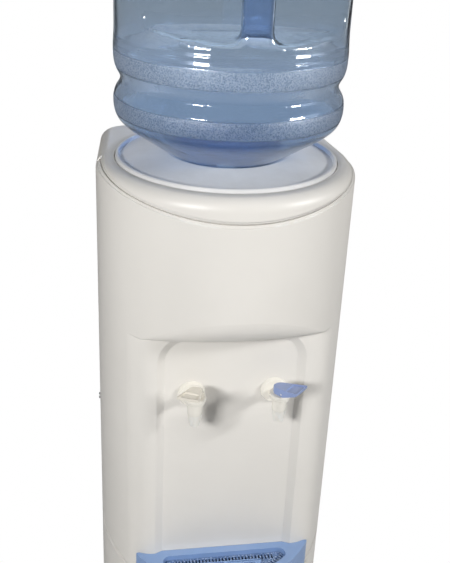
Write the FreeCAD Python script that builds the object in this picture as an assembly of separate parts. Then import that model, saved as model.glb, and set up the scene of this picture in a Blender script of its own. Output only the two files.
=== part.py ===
import FreeCAD, Part
import math
import os

# Free-standing column water cooler with an inverted bottle on top.
# Millimetres, +Z up, front towards -Y, origin on the floor under the column axis.

Vector = FreeCAD.Vector
UP = Vector(0, 0, 1)
BACKWARD = Vector(0, 1, 0)
RIGHTWARD = Vector(1, 0, 0)
ORIGIN = Vector(0, 0, 0)
FAR = 600.0

# column
column_r = 155.0
side_angle = 95.0
back_y = 150.0
rear_corner_r = 35.0
skirt_z = 8.0
top_z = 976.0
shoulder_r = 15.0
wall = 3.0
sheet = 1.2
seam_gap = 1.6
split_gap = 0.6
lip_clearance = 0.2
lip_thickness = 2.0
lip_overlap = 8.0
upper_seam_front_z = 946.5
upper_seam_side_z = 970.5
upper_seam_mid_rise = 18.0
upper_seam_mid_y = -80.0
seam_channel_half = 3.6
seam_channel_depth = 1.2
lower_seam_alcove_z = 432.0
lower_seam_side_z = 465.0
lower_seam_mid_rise = 18.5
lower_seam_mid_y = -46.0
cover_rear_z = 945.0
flange_depth = 16.0
flange_under = 5.0

# alcove in the front
alcove_y = -104.0
cheek_y = -108.5
alcove_floor_z = 425.0
alcove_roof_z = 791.0
alcove_blend_r = 42.0
brow_share = 0.92
brow_proud = 0.15
brow_stations = (0.0, 0.25, 0.5, 0.68, 0.82, 0.92, 0.98)
panel_half = 81.0
panel_top_z = 784.0
panel_corner_r = 28.0
panel_edge_run = 2.1

# bottle guard
guard_edge_r = 132.5
guard_gap = 0.6
guard_seat_z = 972.0
guard_hole_r = 124.0
guard_edge_height = 2.6
bead_r = 129.4
bead_z = 980.0
bead_width = 4.6
dish_drop = 4.0
guard_wall = 2.5
collar_r = 72.0
collar_z = 984.0
socket_r = 31.0
socket_floor_z = 900.0
bottle_seat_gap = 0.3
skirt_ring_r = 76.0
spindle_r = 10.5
spindle_bore_r = 8.0
spindle_top_z = 962.0
spindle_bottom_z = 880.0
spindle_slot = 5.0
press_clearance = 0.03

# bottle
bottle_r = 135.0
bottle_wall = 1.6
neck_r = 27.3
neck_end_z = 912.0
neck_length = 40.0
neck_fillet_r = 34.0
neck_fillet_rise = 8.0
shoulder_edge_r = 120.0
shoulder_slope_deg = 33.3
lower_ring_z = 1042.0
ring_half = 11.0
ring_drop = 2.0
groove_z = 1068.0
groove_r = 125.5
upper_ring_z = 1093.0
base_groove_z = (1300.0, 1350.0)
base_groove_half = 10.0
base_groove_depth = 7.0
bottle_top_z = 1385.0
bottle_corner_r = 17.0
bottle_dome = 12.0
pocket_low_z = 1128.0
pocket_high_z = 1287.0
pocket_slope_rise = 8.0
pocket_y = -77.0
pocket_ledge_y = -112.0
pocket_ledge_rise = 21.0
bottle_turn = 2.5
grip_half_width = 17.0
grip_front_y = -133.0
grip_back_y = -108.0
grip_corner_r = 9.0
cap_wall = 1.9
cap_height = 25.0
cap_hole_r = 12.6
cap_fit = 0.1
plug_wall = 1.0
plug_depth = 8.0

# drip tray and grille
tray_half_width = 116.0
tray_front_y = -172.0
tray_clearance = 0.5
tray_rim_z = 469.0
tray_wall = 2.5
tray_rim = 11.0
tray_floor = 2.5
well_corner_r = 10.0
grille_clearance = 0.8
grille_z = 462.0
grille_thickness = 2.6
platform_inset = 14.0
platform_rise = 4.0
slot_width = 2.2
slot_length = 8.5
slot_pitch = 4.4
grille_post_r = 3.0
post_x = 60.0
back_slot_reach = 66.0
arc_half_deg = 44.0
long_slots = 2

# taps
tap_x = 51.0
tap_middle_x = 3.0
tap_y = -136.0
tap_z = 711.0
tap_body_r = 9.4
tap_body_low_r = 8.7
tap_body_low_z = 703.5
tap_body_high_z = 719.5
tap_chamber_r = 6.8
tap_rim_height = 1.5
shank_r = 6.0
shank_bore_r = 3.2
shank_hole_clearance = 0.4
tap_flange_r = 17.0
tap_flange_thickness = 4.0
spout_low_z = 688.0
spout_top_r = 8.6
spout_tip_r = 5.6
spout_wall = 1.6
spout_steps = 3
seat_hole_r = 3.8
bonnet_r = 13.0
bonnet_gap = 0.3
bonnet_step = 0.8
bonnet_top_z = 726.6
pivot_forward = 6.5
pivot_z = 730.0
pivot_r = 1.2
pivot_boss_r = 3.0
pivot_boss_half = 6.6
pivot_clearance = 0.05
lever_reach = 28.5
lever_tip_half = 13.0
lever_heel_half = 8.0
lever_heel = 8.5
lever_wall = 2.0
lever_plate = 2.2
lever_heel_rise = 4.6
lever_tip_rise = 11.0
lever_tip_height = 3.0
lever_dish_start = 12.0
lever_dish_depth = 1.1
lever_rim_width = 1.8
lift_bar_r = 1.3
lift_bar_gap = 2.9
stem_r = 2.2
stem_clearance = 0.08
stem_head_r = 3.5
stem_head_height = 1.4
stem_head_rise = 1.4
seat_cup_r = 5.6
seat_cup_height = 5.0
valve_spring_r = 4.8
valve_spring_wire = 1.0
left_lever_angle = -25.0
right_lever_angle = 45.0
tap_nut_af = 22.0
tap_nut_height = 6.0
tap_washer_r = 12.0
tap_washer_thickness = 1.5
barb_length = 14.0
barb_r = 5.0

# water tank
tank_r = 72.0
tank_wall = 1.2
tank_floor_z = 770.0
tank_top_z = 958.0
tank_flange_r = 84.0
tank_seal_thickness = 2.5
outlet_x = 30.0
outlet_y = -20.0
outlet_r = 5.0
outlet_length = 14.0
baffle_z = 858.0
baffle_thickness = 4.0
baffle_clearance = 0.6
evaporator_tube_r = 3.2
evaporator_turns = 8
evaporator_pitch = 11.0
foam_inner_clearance = 0.6
foam_outer_r = 97.0
foam_floor_z = 752.0
foam_joint_gap = 0.4
hose_r = 7.5
hose_fit = 0.05
hose_drop_z = 722.0
hose_front_y = -62.0
shelf_thickness = 1.5
shelf_flange = 16.0

# base and cooling machine
base_plate_z = 12.0
base_plate_thickness = 1.5
base_flange = 16.0
foot_r = 16.0
foot_x = 92.0
foot_front_y = -72.0
foot_rear_y = 110.0
foot_taper = 2.5
compressor_y = 48.0
compressor_r = 62.0
compressor_low_z = 32.0
compressor_height = 146.0
compressor_rim = 4.0
mount_x = 68.0
mount_y = 50.0
mount_r = 11.0
mount_height = 12.0
leg_thickness = 3.0
leg_width = 26.0
bolt_r = 3.0
bolt_head_r = 5.5
bolt_head_height = 4.0
relay_depth = 22.0
relay_width = 44.0
relay_height = 60.0
condenser_standoff = 22.0
condenser_tube_r = 2.5
condenser_wire_r = 0.8
condenser_weld_gap = 0.05
condenser_half_width = 120.0
condenser_low_z = 110.0
condenser_pitch = 45.0
condenser_passes = 11
wire_pitch = 12.0
wire_overhang = 12.0
bracket_width = 14.0
line_r = 3.0
capillary_r = 1.5
drier_r = 9.0
drier_length = 90.0
drier_x = 112.0
drier_y = 108.0
drier_low_z = 150.0
thermostat_x = 75.0
thermostat_z = 690.0
thermostat_size = 38.0
thermostat_depth = 26.0
knob_r = 13.0
knob_height = 13.0
knob_shaft_r = 3.0
knob_notch_r = 1.6
knob_notches = 12
gland_x = -92.0
gland_z = 62.0
gland_r = 9.0
gland_bore_r = 3.6
gland_reach = 9.0
screw_r = 2.0
screw_head_r = 4.2
screw_head_height = 2.2
screw_length = 6.0
side_screw_z = (60.0, 300.0, 635.0)


def save(name, shape):
    shape.exportStep("parts/" + name + ".step")


def direction(angle_deg):
    """Unit vector in plan; zero points to the front and angles grow towards +X."""
    angle = math.radians(angle_deg)
    return Vector(math.sin(angle), -math.cos(angle), 0)


def line(a, b):
    return Part.LineSegment(a, b).toShape()


def arc(a, b, c):
    return Part.Arc(a, b, c).toShape()


def polygon(points):
    """Closed flat face through the points in order."""
    closed = list(points) + [points[0]]
    return Part.Face(Part.makePolygon(closed))


def box(low, high):
    size = high - low
    return Part.makeBox(size.x, size.y, size.z, low)


def cylinder(radius, start, end):
    axis = end - start
    return Part.makeCylinder(radius, axis.Length, start, axis)


def ring(outer, inner, low, high):
    """Upright tube about the column axis."""
    solid = Part.makeCylinder(outer, high - low, Vector(0, 0, low))
    hole = Part.makeCylinder(inner, high - low, Vector(0, 0, low))
    return solid.cut(hole)


def revolved(points, center=ORIGIN):
    """Solid of revolution about the vertical through center from (radius, z) points."""
    flat = [Vector(p[0], 0, p[1]) for p in points]
    solid = polygon(flat).revolve(ORIGIN, UP, 360)
    solid.translate(center)
    return solid


def tube_path(points, bend_r):
    """Wire of straight runs joined by tangent arcs of one radius."""
    edges = []
    last = points[0]
    for before, corner, after in zip(points, points[1:], points[2:]):
        incoming = (corner - before).normalize()
        outgoing = (after - corner).normalize()
        turn = incoming.getAngle(outgoing)
        reach = bend_r * math.tan(turn / 2)
        start = corner - incoming * reach
        end = corner + outgoing * reach
        inward = (outgoing - incoming).normalize()
        center = corner + inward * (bend_r / math.cos(turn / 2))
        middle = center - inward * bend_r
        edges.append(line(last, start))
        edges.append(arc(start, middle, end))
        last = end
    edges.append(line(last, points[-1]))
    return Part.Wire(edges)


def swept(points, bend_r, radius):
    """Round rod of one radius along a bent path."""
    path = tube_path(points, bend_r)
    start = (points[1] - points[0]).normalize()
    profile = Part.Wire(Part.makeCircle(radius, points[0], start))
    return path.makePipeShell([profile], True, False)


def mirrored(shape):
    return shape.mirror(ORIGIN, RIGHTWARD)


# outlines of the column

side_direction = Vector(-math.sin(math.radians(side_angle - 90)), math.cos(math.radians(side_angle - 90)), 0)
split_y = (direction(side_angle) * column_r).y


def column_edges(inset):
    """Half plan outline behind the side angle, on the +X side, from the arc to the back."""
    start = direction(side_angle) * (column_r - inset)
    back = back_y - inset
    corner = start + side_direction * ((back - start.y) / side_direction.y)
    corner_r = rear_corner_r - inset
    turn = side_direction.getAngle(Vector(-1, 0, 0))
    reach = corner_r * math.tan(turn / 2)
    first = corner - side_direction * reach
    last = corner - RIGHTWARD * reach
    center = Vector(last.x, last.y - corner_r, 0)
    middle = center + ((corner - center).normalize() * corner_r)
    return [start, first, middle, last]


def column(inset, low, high):
    """Column solid: round front, straight sides that draw in, flat back."""
    start, first, middle, last = column_edges(inset)
    flip = [Vector(-p.x, p.y, 0) for p in (start, first, middle, last)]
    front = Vector(0, -(column_r - inset), 0)
    edges = [arc(flip[0], front, start), line(start, first), arc(first, middle, last)]
    edges += [line(last, flip[3]), arc(flip[3], flip[2], flip[1]), line(flip[1], flip[0])]
    solid = Part.Face(Part.Wire(edges)).extrude(UP * (high - low))
    solid.translate(UP * low)
    return solid


def rounded_column(inset, low):
    """Column with its shoulder rounded at the top."""
    top = top_z - inset
    solid = column(inset, low, top)
    edges = [e for e in solid.Edges if e.BoundBox.ZMin > top - 0.01]
    return solid.makeFillet(shoulder_r - inset, edges)


def alcove_column(inset, low, high):
    """Column cut flat across the front, its edges blended into the round sides."""
    flat_y = cheek_y + inset
    blend = alcove_blend_r - inset
    center_y = flat_y + blend
    center_x = math.sqrt((column_r - inset - blend) ** 2 - center_y ** 2)
    center = Vector(center_x, center_y, 0)
    touch = center.normalize() * (column_r - inset)
    center = Vector(center_x, center_y, 0)
    flat_end = Vector(center_x, flat_y, 0)
    middle = center + ((touch - center) + (flat_end - center)).normalize() * blend
    start, first, corner, last = column_edges(inset)
    half = math.degrees(math.atan2(touch.x, -touch.y))
    side_middle = direction((half + side_angle) / 2) * (column_r - inset)
    points = [flat_end, middle, touch, side_middle, start, first, corner, last]
    flip = [Vector(-p.x, p.y, 0) for p in points]
    edges = [line(flip[0], flat_end)]
    edges += [arc(points[0], points[1], points[2]), arc(points[2], points[3], points[4])]
    edges += [line(points[4], points[5]), arc(points[5], points[6], points[7])]
    edges += [line(points[7], flip[7]), arc(flip[7], flip[6], flip[5]), line(flip[5], flip[4])]
    edges += [arc(flip[4], flip[3], flip[2]), arc(flip[2], flip[1], flip[0])]
    solid = Part.Face(Part.Wire(edges)).extrude(UP * (high - low))
    solid.translate(UP * low)
    return solid


def across(edges):
    """Side profile in the YZ plane carried right across the column."""
    solid = Part.Face(Part.Wire(edges)).extrude(RIGHTWARD * 2 * FAR)
    solid.translate(RIGHTWARD * -FAR)
    return solid


def side_point(y, z):
    return Vector(0, y, z)


def brow_section(x, inset):
    """Space to cut under the brow at one x; its radius shrinks with the overhang."""
    roof = alcove_roof_z + inset
    front = -math.sqrt((column_r - inset) ** 2 - x ** 2) - brow_proud
    radius = brow_share * (cheek_y + inset - front)
    bend = (1 - math.sqrt(0.5)) * radius
    low = Vector(x, front + radius, roof)
    middle = Vector(x, front + bend, roof + bend)
    high = Vector(x, front, roof + radius)
    corners = [high, Vector(x, -1.2 * column_r, roof + radius), Vector(x, -1.2 * column_r, roof - 2.0)]
    corners += [Vector(x, low.y, roof - 2.0), low]
    edges = [line(a, b) for a, b in zip(corners, corners[1:])]
    edges.append(arc(low, middle, high))
    return Part.Wire(edges)


def brow_cut(inset):
    """Tool that rounds the front of the column under into the alcove."""
    reach = math.sqrt((column_r - inset) ** 2 - (cheek_y + inset) ** 2)
    stations = [-share * reach for share in reversed(brow_stations[1:])]
    stations += [share * reach for share in brow_stations]
    return Part.makeLoft([brow_section(x, inset) for x in stations], True, False)


def panel_wire(y, half, top, low):
    """Outline of the alcove's back panel, its two top corners rounded."""
    corner = half - panel_half + panel_corner_r
    bend = corner * (1 - math.sqrt(0.5))
    points = [Vector(-half, y, low), Vector(-half, y, top - corner), Vector(-half + corner, y, top)]
    flip = [Vector(-p.x, y, p.z) for p in points]
    edges = [line(points[0], points[1])]
    edges.append(arc(points[1], Vector(-half + bend, y, top - bend), points[2]))
    edges.append(line(points[2], flip[2]))
    edges.append(arc(flip[2], Vector(half - bend, y, top - bend), flip[1]))
    edges += [line(flip[1], flip[0]), line(flip[0], points[0])]
    return Part.Wire(edges)


def panel_recess(inset, low):
    """Shallow recess with sloping edges between the cheeks of the alcove."""
    back_y = alcove_y + inset
    front_y = cheek_y + inset - 2.0
    half = panel_half + inset / 2
    top = panel_top_z + inset / 2
    spread = panel_edge_run * (back_y - front_y)
    back = panel_wire(back_y, half, top, low)
    front = panel_wire(front_y, half + spread, top + spread, low)
    return Part.makeLoft([back, front], True, True)


def body_form(inset):
    """Whole outer form of the column, drawn in by the inset."""
    low = skirt_z - (1.0 if inset else 0.0)
    roof = alcove_roof_z + inset
    upper = rounded_column(inset, roof).cut(brow_cut(inset))
    lower = column(inset, low, alcove_floor_z - inset)
    middle = alcove_column(inset, low, roof + 2 * wall).cut(panel_recess(inset, low - 1.0))
    return upper.fuse(lower).fuse(middle)


def above_seam(front, middle, side):
    """Everything over a seam that dips along an arc towards the front."""
    corners = [side, side_point(FAR, side.z), side_point(FAR, top_z + FAR)]
    corners += [side_point(-FAR, top_z + FAR), side_point(-FAR, front.z), front]
    edges = [line(a, b) for a, b in zip(corners, corners[1:])]
    edges.append(arc(front, middle, side))
    return across(edges)


def above_upper_seam(shift):
    front_z = upper_seam_front_z + shift
    front = side_point(-column_r - wall, front_z)
    middle = side_point(upper_seam_mid_y, front_z + upper_seam_mid_rise)
    return above_seam(front, middle, side_point(split_y, upper_seam_side_z + shift))


def above_lower_seam(shift):
    front_z = lower_seam_alcove_z + shift
    front = side_point(alcove_y, front_z)
    middle = side_point(lower_seam_mid_y, front_z + lower_seam_mid_rise)
    return above_seam(front, middle, side_point(split_y, lower_seam_side_z + shift))


def in_front(y):
    return box(Vector(-FAR, -FAR, -FAR), Vector(FAR, y, 2 * top_z))


def behind(y):
    return box(Vector(-FAR, y, -FAR), Vector(FAR, FAR, 2 * top_z))


def rear_flange(low, high):
    """Inner strip along both rear edges of a plastic shell, under the steel sheet."""
    under = sheet + lip_clearance
    strip = column(under, low, high).cut(column(under + lip_thickness, low, high))
    zone = box(Vector(-FAR, split_y - flange_under, low), Vector(FAR, split_y + flange_depth, high))
    return strip.common(zone)


def side_screw(z):
    """Pan-head screw through the sheet and the flange on the +X side."""
    y = split_y + flange_depth / 2
    start = direction(side_angle) * column_r
    face_x = start.x + side_direction.x * (y - start.y) / side_direction.y
    outward = Vector(side_direction.y, -side_direction.x, 0)
    seat = Vector(face_x, y, z)
    head = cylinder(screw_head_r, seat, seat + outward * screw_head_height)
    shank = cylinder(screw_r, seat - outward * screw_length, seat)
    return head.fuse(shank)


def side_screw_hole(z):
    y = split_y + flange_depth / 2
    return cylinder(screw_r + lip_clearance, Vector(-FAR, y, z), Vector(FAR, y, z))


outer_form = body_form(0.0)
inner_form = body_form(wall)
shell = outer_form.cut(inner_form)

# shallow channels that run along both seams
skin = outer_form.cut(body_form(seam_channel_depth)).common(in_front(split_y))
upper_channel = above_upper_seam(-seam_channel_half).cut(above_upper_seam(seam_channel_half))
lower_channel = above_lower_seam(-seam_channel_half).cut(above_lower_seam(seam_channel_half))
upper_channel = skin.common(upper_channel)
lower_channel = skin.common(lower_channel)
shell = shell.cut(upper_channel).cut(lower_channel)

# front shell with its alcove
front_shell = shell.cut(above_upper_seam(-seam_gap / 2)).common(above_lower_seam(seam_gap / 2))
front_shell = front_shell.common(in_front(split_y - split_gap))
front_shell = front_shell.fuse(rear_flange(lower_seam_side_z + lip_overlap * 2, cover_rear_z - lip_overlap))
for screw_z in side_screw_z:
    front_shell = front_shell.cut(side_screw_hole(screw_z))
for side in (-1, 1):
    hole_x = tap_middle_x + side * tap_x
    wall_hole = cylinder(shank_r + shank_hole_clearance, Vector(hole_x, alcove_y - wall, tap_z),
                         Vector(hole_x, alcove_y + 2 * wall, tap_z))
    front_shell = front_shell.cut(wall_hole)
save("front_shell", front_shell)

# base shell with a lip behind the front shell
base_shell = shell.cut(above_lower_seam(-seam_gap / 2)).common(in_front(split_y - split_gap))
lip = body_form(wall + lip_clearance).cut(body_form(wall + lip_clearance + lip_thickness))
lip_zone = above_lower_seam(-lip_overlap).cut(above_lower_seam(lip_overlap))
lip = lip.common(lip_zone).common(in_front(split_y - flange_under - lip_clearance))
lip = lip.cut(box(Vector(-FAR, -FAR, alcove_floor_z - 2 * wall), Vector(FAR, alcove_y + 2 * wall, top_z)))
bridge = body_form(wall - lip_clearance).cut(body_form(wall + lip_clearance + lip_thickness))
bridge = bridge.common(above_lower_seam(-lip_overlap).cut(above_lower_seam(-lip_overlap / 2)))
bridge = bridge.common(in_front(split_y - flange_under - lip_clearance))
base_shell = base_shell.fuse(lip).fuse(bridge)
base_shell = base_shell.fuse(rear_flange(base_plate_z + 2 * base_flange, lower_seam_side_z - lip_overlap * 2))
for screw_z in side_screw_z:
    base_shell = base_shell.cut(side_screw_hole(screw_z))
save("base_shell", base_shell)

# steel rear cabinet
condenser_reach_y = back_y + condenser_standoff
condenser_y = condenser_reach_y - 2 * condenser_wire_r - condenser_weld_gap - condenser_tube_r
condenser_high_z = condenser_low_z + condenser_pitch * (condenser_passes - 1)
pipe_x = condenser_half_width - condenser_tube_r
pipe_bend_r = condenser_pitch / 2
exit_side = -1 if condenser_passes % 2 else 1
rear_top_z = cover_rear_z - seam_gap
rear_cabinet = column(0.0, skirt_z, rear_top_z).cut(column(sheet, skirt_z, rear_top_z))
rear_cabinet = rear_cabinet.common(behind(split_y))
for screw_z in side_screw_z:
    rear_cabinet = rear_cabinet.cut(side_screw_hole(screw_z))


def rear_hole(x, z, radius):
    return cylinder(radius, Vector(x, back_y - 2 * wall, z), Vector(x, back_y + 2 * wall, z))


shelf_z = foam_floor_z - shelf_thickness
shelf_screw_x = 70.0
rear_screws = [(side * shelf_screw_x, shelf_z - shelf_flange / 2) for side in (-1, 1)]
rear_screws += [(side * shelf_screw_x, base_plate_z + base_flange / 2 + wall) for side in (-1, 1)]
rear_cabinet = rear_cabinet.cut(rear_hole(pipe_x, condenser_high_z, condenser_tube_r + 1.0))
rear_cabinet = rear_cabinet.cut(rear_hole(exit_side * pipe_x, condenser_low_z, condenser_tube_r + 1.0))
rear_cabinet = rear_cabinet.cut(rear_hole(thermostat_x, thermostat_z, knob_shaft_r + 1.0))
rear_cabinet = rear_cabinet.cut(rear_hole(gland_x, gland_z, gland_r - 2.0 + press_clearance))
for x, z in rear_screws:
    rear_cabinet = rear_cabinet.cut(rear_hole(x, z, screw_r + lip_clearance))
save("rear_cabinet", rear_cabinet)

# top cover with the seat for the bottle guard
cover_wall = wall + lip_clearance + lip_thickness
cover_form = rounded_column(0.0, cover_rear_z).cut(rounded_column(cover_wall, cover_rear_z - 1))
cover_lip = rounded_column(wall + lip_clearance, cover_rear_z - 3 * lip_overlap)
cover_lip = cover_lip.cut(rounded_column(cover_wall, cover_rear_z - 3 * lip_overlap - 1))
cover_rear = cover_form.common(behind(split_y))
cover_front = cover_form.common(in_front(split_y)).common(above_upper_seam(seam_gap / 2))
cover_front = cover_front.cut(upper_channel)
lip_front = cover_lip.common(in_front(split_y)).common(above_upper_seam(-lip_overlap))
lip_rear = cover_lip.common(behind(split_y))
lip_rear = lip_rear.common(box(Vector(-FAR, split_y, cover_rear_z - lip_overlap), Vector(FAR, FAR, top_z)))
top_cover = cover_front.fuse(cover_rear).fuse(lip_front).fuse(lip_rear)
top_cover = top_cover.cut(ring(guard_edge_r + guard_gap, 0.1, guard_seat_z, top_z + 1))
top_cover = top_cover.cut(Part.makeCylinder(guard_hole_r, 2 * FAR, Vector(0, 0, 500)))
save("top_cover", top_cover)

# bottle shoulder line, which the guard's collar follows
slope = math.tan(math.radians(shoulder_slope_deg))
neck_base_z = neck_end_z + neck_length
cone_low_z = neck_base_z + neck_fillet_rise
cone_high_z = cone_low_z + (shoulder_edge_r - neck_fillet_r) * slope


def shoulder_z(radius, shift=0.0):
    """Height of the bottle's conical shoulder at a radius."""
    return cone_low_z + (radius - neck_fillet_r) * slope + shift


# bottle guard: rim bead, dish, raised collar, cone and neck socket in one moulding
seat_drop = -bottle_seat_gap / math.cos(math.radians(shoulder_slope_deg))
dish_z = bead_z - dish_drop
bead_inner = bead_r - bead_width / 2
bead_outer = bead_r + bead_width / 2
cone_foot_r = neck_fillet_r + 1.0
seal_top_z = tank_top_z + tank_seal_thickness


def dish_height(radius, shift=0.0):
    """Height of the dish, which rises a little from the bead to the collar."""
    share = (bead_inner - radius) / (bead_inner - collar_r)
    return dish_z + (collar_z - dish_z) * share + shift


top_line = [(guard_edge_r, guard_seat_z), (guard_edge_r, guard_seat_z + guard_edge_height)]
top_line += [(bead_outer, bead_z - 1.0), (bead_r + 1.0, bead_z), (bead_r - 1.0, bead_z), (bead_inner, dish_z)]
top_line.append((collar_r + 1.0, dish_height(collar_r + 1.0)))
top_line.append((collar_r - 1.5, shoulder_z(collar_r - 1.5, seat_drop)))
top_line += [(cone_foot_r, shoulder_z(cone_foot_r, seat_drop))]
top_line += [(socket_r, shoulder_z(cone_foot_r, seat_drop) - neck_fillet_rise)]
top_line.append((socket_r, socket_floor_z + guard_wall))
top_line.append((spindle_r + press_clearance, socket_floor_z + guard_wall))
cone_under = seat_drop - 1.2 * guard_wall
skirt_in = skirt_ring_r - guard_wall / 2
skirt_out = skirt_ring_r + guard_wall / 2
under_line = [(spindle_r + press_clearance, socket_floor_z), (socket_r + guard_wall, socket_floor_z)]
under_line += [(socket_r + guard_wall, shoulder_z(socket_r + guard_wall, cone_under))]
under_line += [(collar_r - guard_wall, shoulder_z(collar_r - guard_wall, cone_under))]
under_line += [(skirt_in, dish_height(skirt_in, -guard_wall)), (skirt_in, seal_top_z + 0.1)]
under_line += [(skirt_out, seal_top_z + 0.1), (skirt_out, dish_height(skirt_out, -guard_wall))]
under_line += [(guard_hole_r - guard_gap, dish_z - guard_wall), (guard_hole_r - guard_gap, guard_seat_z)]
bottle_guard = revolved(top_line + under_line)
save("bottle_guard", bottle_guard)

# feed spindle that opens the bottle cap
spindle = ring(spindle_r, spindle_bore_r, spindle_bottom_z, spindle_top_z)
spindle_tip = Part.makeCylinder(spindle_r, guard_wall, Vector(0, 0, spindle_top_z - guard_wall))
spindle_collar = ring(socket_r - 2 * spindle_slot, spindle_r, socket_floor_z + guard_wall,
                      socket_floor_z + 2 * guard_wall)
spindle = spindle.fuse(spindle_tip).fuse(spindle_collar)
window_low = spindle_top_z - 6 * spindle_slot
for turn in (0, 60, 120):
    window = box(Vector(-FAR, -spindle_slot / 2, window_low),
                 Vector(FAR, spindle_slot / 2, spindle_top_z - 2 * guard_wall))
    window.rotate(ORIGIN, UP, turn)
    spindle = spindle.cut(window)
save("feed_spindle", spindle)

# plug held on the spindle tip
plug_inner_r = spindle_r + 0.1
plug_outer_r = plug_inner_r + plug_wall
plug_points = [(0, spindle_top_z + 0.05), (plug_inner_r, spindle_top_z + 0.05)]
plug_points += [(plug_inner_r, spindle_top_z - plug_depth), (plug_outer_r, spindle_top_z - plug_depth)]
plug_points += [(plug_outer_r, spindle_top_z + plug_wall), (0, spindle_top_z + plug_wall)]
save("cap_plug", revolved(plug_points))

# cap snapped over the bottle neck
cap_low_z = neck_end_z - cap_fit - cap_wall
cap_points = [(cap_hole_r, cap_low_z), (neck_r + cap_fit + cap_wall, cap_low_z)]
cap_points.append((neck_r + cap_fit + cap_wall, cap_low_z + cap_height))
cap_points.append((neck_r + cap_fit, cap_low_z + cap_height))
cap_points += [(neck_r + cap_fit, neck_end_z - cap_fit), (cap_hole_r, neck_end_z - cap_fit)]
save("bottle_cap", revolved(cap_points))


# bottle
def bottle_body(inset):
    """Bottle solid drawn in by the inset, neck down."""
    def point(radius, z):
        return Vector(radius - inset, 0, z)

    rise = inset / math.cos(math.radians(shoulder_slope_deg))
    neck_low = neck_end_z - (2.0 if inset else 0.0)
    start = Vector(0, 0, neck_low)
    neck_foot = point(neck_r, neck_low)
    neck_top = point(neck_r, neck_base_z + rise)
    cone_foot = Vector(neck_fillet_r, 0, cone_low_z + rise)
    cone_edge = Vector(shoulder_edge_r, 0, cone_high_z + rise)
    ring_low = point(bottle_r - ring_drop, lower_ring_z - ring_half)
    ring_top = point(bottle_r - ring_drop, lower_ring_z + ring_half)
    groove = point(groove_r, groove_z)
    upper_low = point(bottle_r - ring_drop, upper_ring_z - ring_half)
    upper_top = point(bottle_r, upper_ring_z + ring_half)
    edges = [line(start, neck_foot), line(neck_foot, neck_top), line(neck_top, cone_foot)]
    edges += [line(cone_foot, cone_edge)]
    edge_middle = Vector((cone_edge.x + ring_low.x) / 2 + 2.5, 0, (cone_edge.z + ring_low.z) / 2 - 2.5)
    edges.append(arc(cone_edge, edge_middle, ring_low))
    edges.append(arc(ring_low, point(bottle_r, lower_ring_z), ring_top))
    edges.append(arc(ring_top, groove, upper_low))
    upper_middle = point(bottle_r - 0.25, upper_ring_z + 1.0)
    edges.append(arc(upper_low, upper_middle, upper_top))
    last = upper_top
    for z in base_groove_z:
        low = point(bottle_r, z - base_groove_half)
        high = point(bottle_r, z + base_groove_half)
        edges.append(line(last, low))
        edges.append(arc(low, point(bottle_r - base_groove_depth, z), high))
        last = high
    corner_r = bottle_corner_r - inset
    corner_z = bottle_top_z - inset - corner_r
    corner_low = Vector(bottle_r - inset, 0, corner_z)
    corner_high = Vector(bottle_r - bottle_corner_r, 0, bottle_top_z - inset)
    bend = math.sqrt(0.5) * corner_r
    corner_middle = Vector(bottle_r - bottle_corner_r + bend, 0, corner_z + bend)
    hollow_z = bottle_top_z - bottle_dome - inset
    hollow_rim = Vector(corner_high.x - 2 * bottle_dome, 0, hollow_z)
    hollow_center = Vector(0, 0, hollow_z)
    edges += [line(last, corner_low), arc(corner_low, corner_middle, corner_high)]
    edges += [line(corner_high, hollow_rim), line(hollow_rim, hollow_center), line(hollow_center, start)]
    return Part.Face(Part.Wire(edges)).revolve(ORIGIN, UP, 360)


def handle_pocket(outset):
    """Hollow across the front of the bottle round the handle."""
    low = pocket_low_z - outset
    high = pocket_high_z + outset
    front_y = -bottle_r + 2.0
    wall_y = pocket_y + outset
    ledge_y = pocket_ledge_y + outset / 2
    corners = [side_point(-FAR, low), side_point(front_y, low), side_point(ledge_y, low + pocket_slope_rise)]
    corners += [side_point(wall_y, low + pocket_ledge_rise), side_point(wall_y, high - pocket_ledge_rise)]
    corners += [side_point(ledge_y, high - pocket_slope_rise), side_point(front_y, high)]
    corners.append(side_point(-FAR, high))
    edges = [line(a, b) for a, b in zip(corners, corners[1:] + corners[:1])]
    return across(edges)


def grip_bar(inset, reach):
    """Upright handle bar, past both ends of the pocket by the reach."""
    low = Vector(-grip_half_width + inset, grip_front_y + inset, pocket_low_z - reach)
    high = Vector(grip_half_width - inset, grip_back_y - inset, pocket_high_z + reach)
    bar = box(low, high)
    edges = [e for e in bar.Edges if e.BoundBox.ZLength > 1]
    return bar.makeFillet(grip_corner_r - inset, edges)


bottle_skin = bottle_body(0.0).cut(handle_pocket(0.0)).fuse(grip_bar(0.0, bottle_wall))
bottle_room = bottle_body(bottle_wall).cut(handle_pocket(bottle_wall))
bottle_room = bottle_room.fuse(grip_bar(bottle_wall, 3 * bottle_wall))
bottle = bottle_skin.cut(bottle_room)
bottle.rotate(ORIGIN, UP, bottle_turn)
save("bottle", bottle)

# drip tray
tray_back_y = alcove_y - tray_clearance
tray_low_z = alcove_floor_z + tray_clearance
bow_sagitta = tray_back_y - tray_front_y
bow_r = (tray_half_width ** 2 + bow_sagitta ** 2) / (2 * bow_sagitta)
bow_y = tray_front_y + bow_r


def tray_plan(inset, low, high):
    """Lens-shaped plan of the tray: straight back and bowed front."""
    radius = bow_r - inset
    back = tray_back_y - inset
    half = math.sqrt(radius ** 2 - (back - bow_y) ** 2)
    left = Vector(-half, back, low)
    right = Vector(half, back, low)
    front = Vector(0, bow_y - radius, low)
    face = Part.Face(Part.Wire([line(right, left), arc(left, front, right)]))
    return face.extrude(UP * (high - low))


def rounded_plan(inset, low, high, radius):
    solid = tray_plan(inset, low, high)
    edges = [e for e in solid.Edges if e.BoundBox.ZLength > (high - low) / 2]
    return solid.makeFillet(radius, edges)


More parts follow.
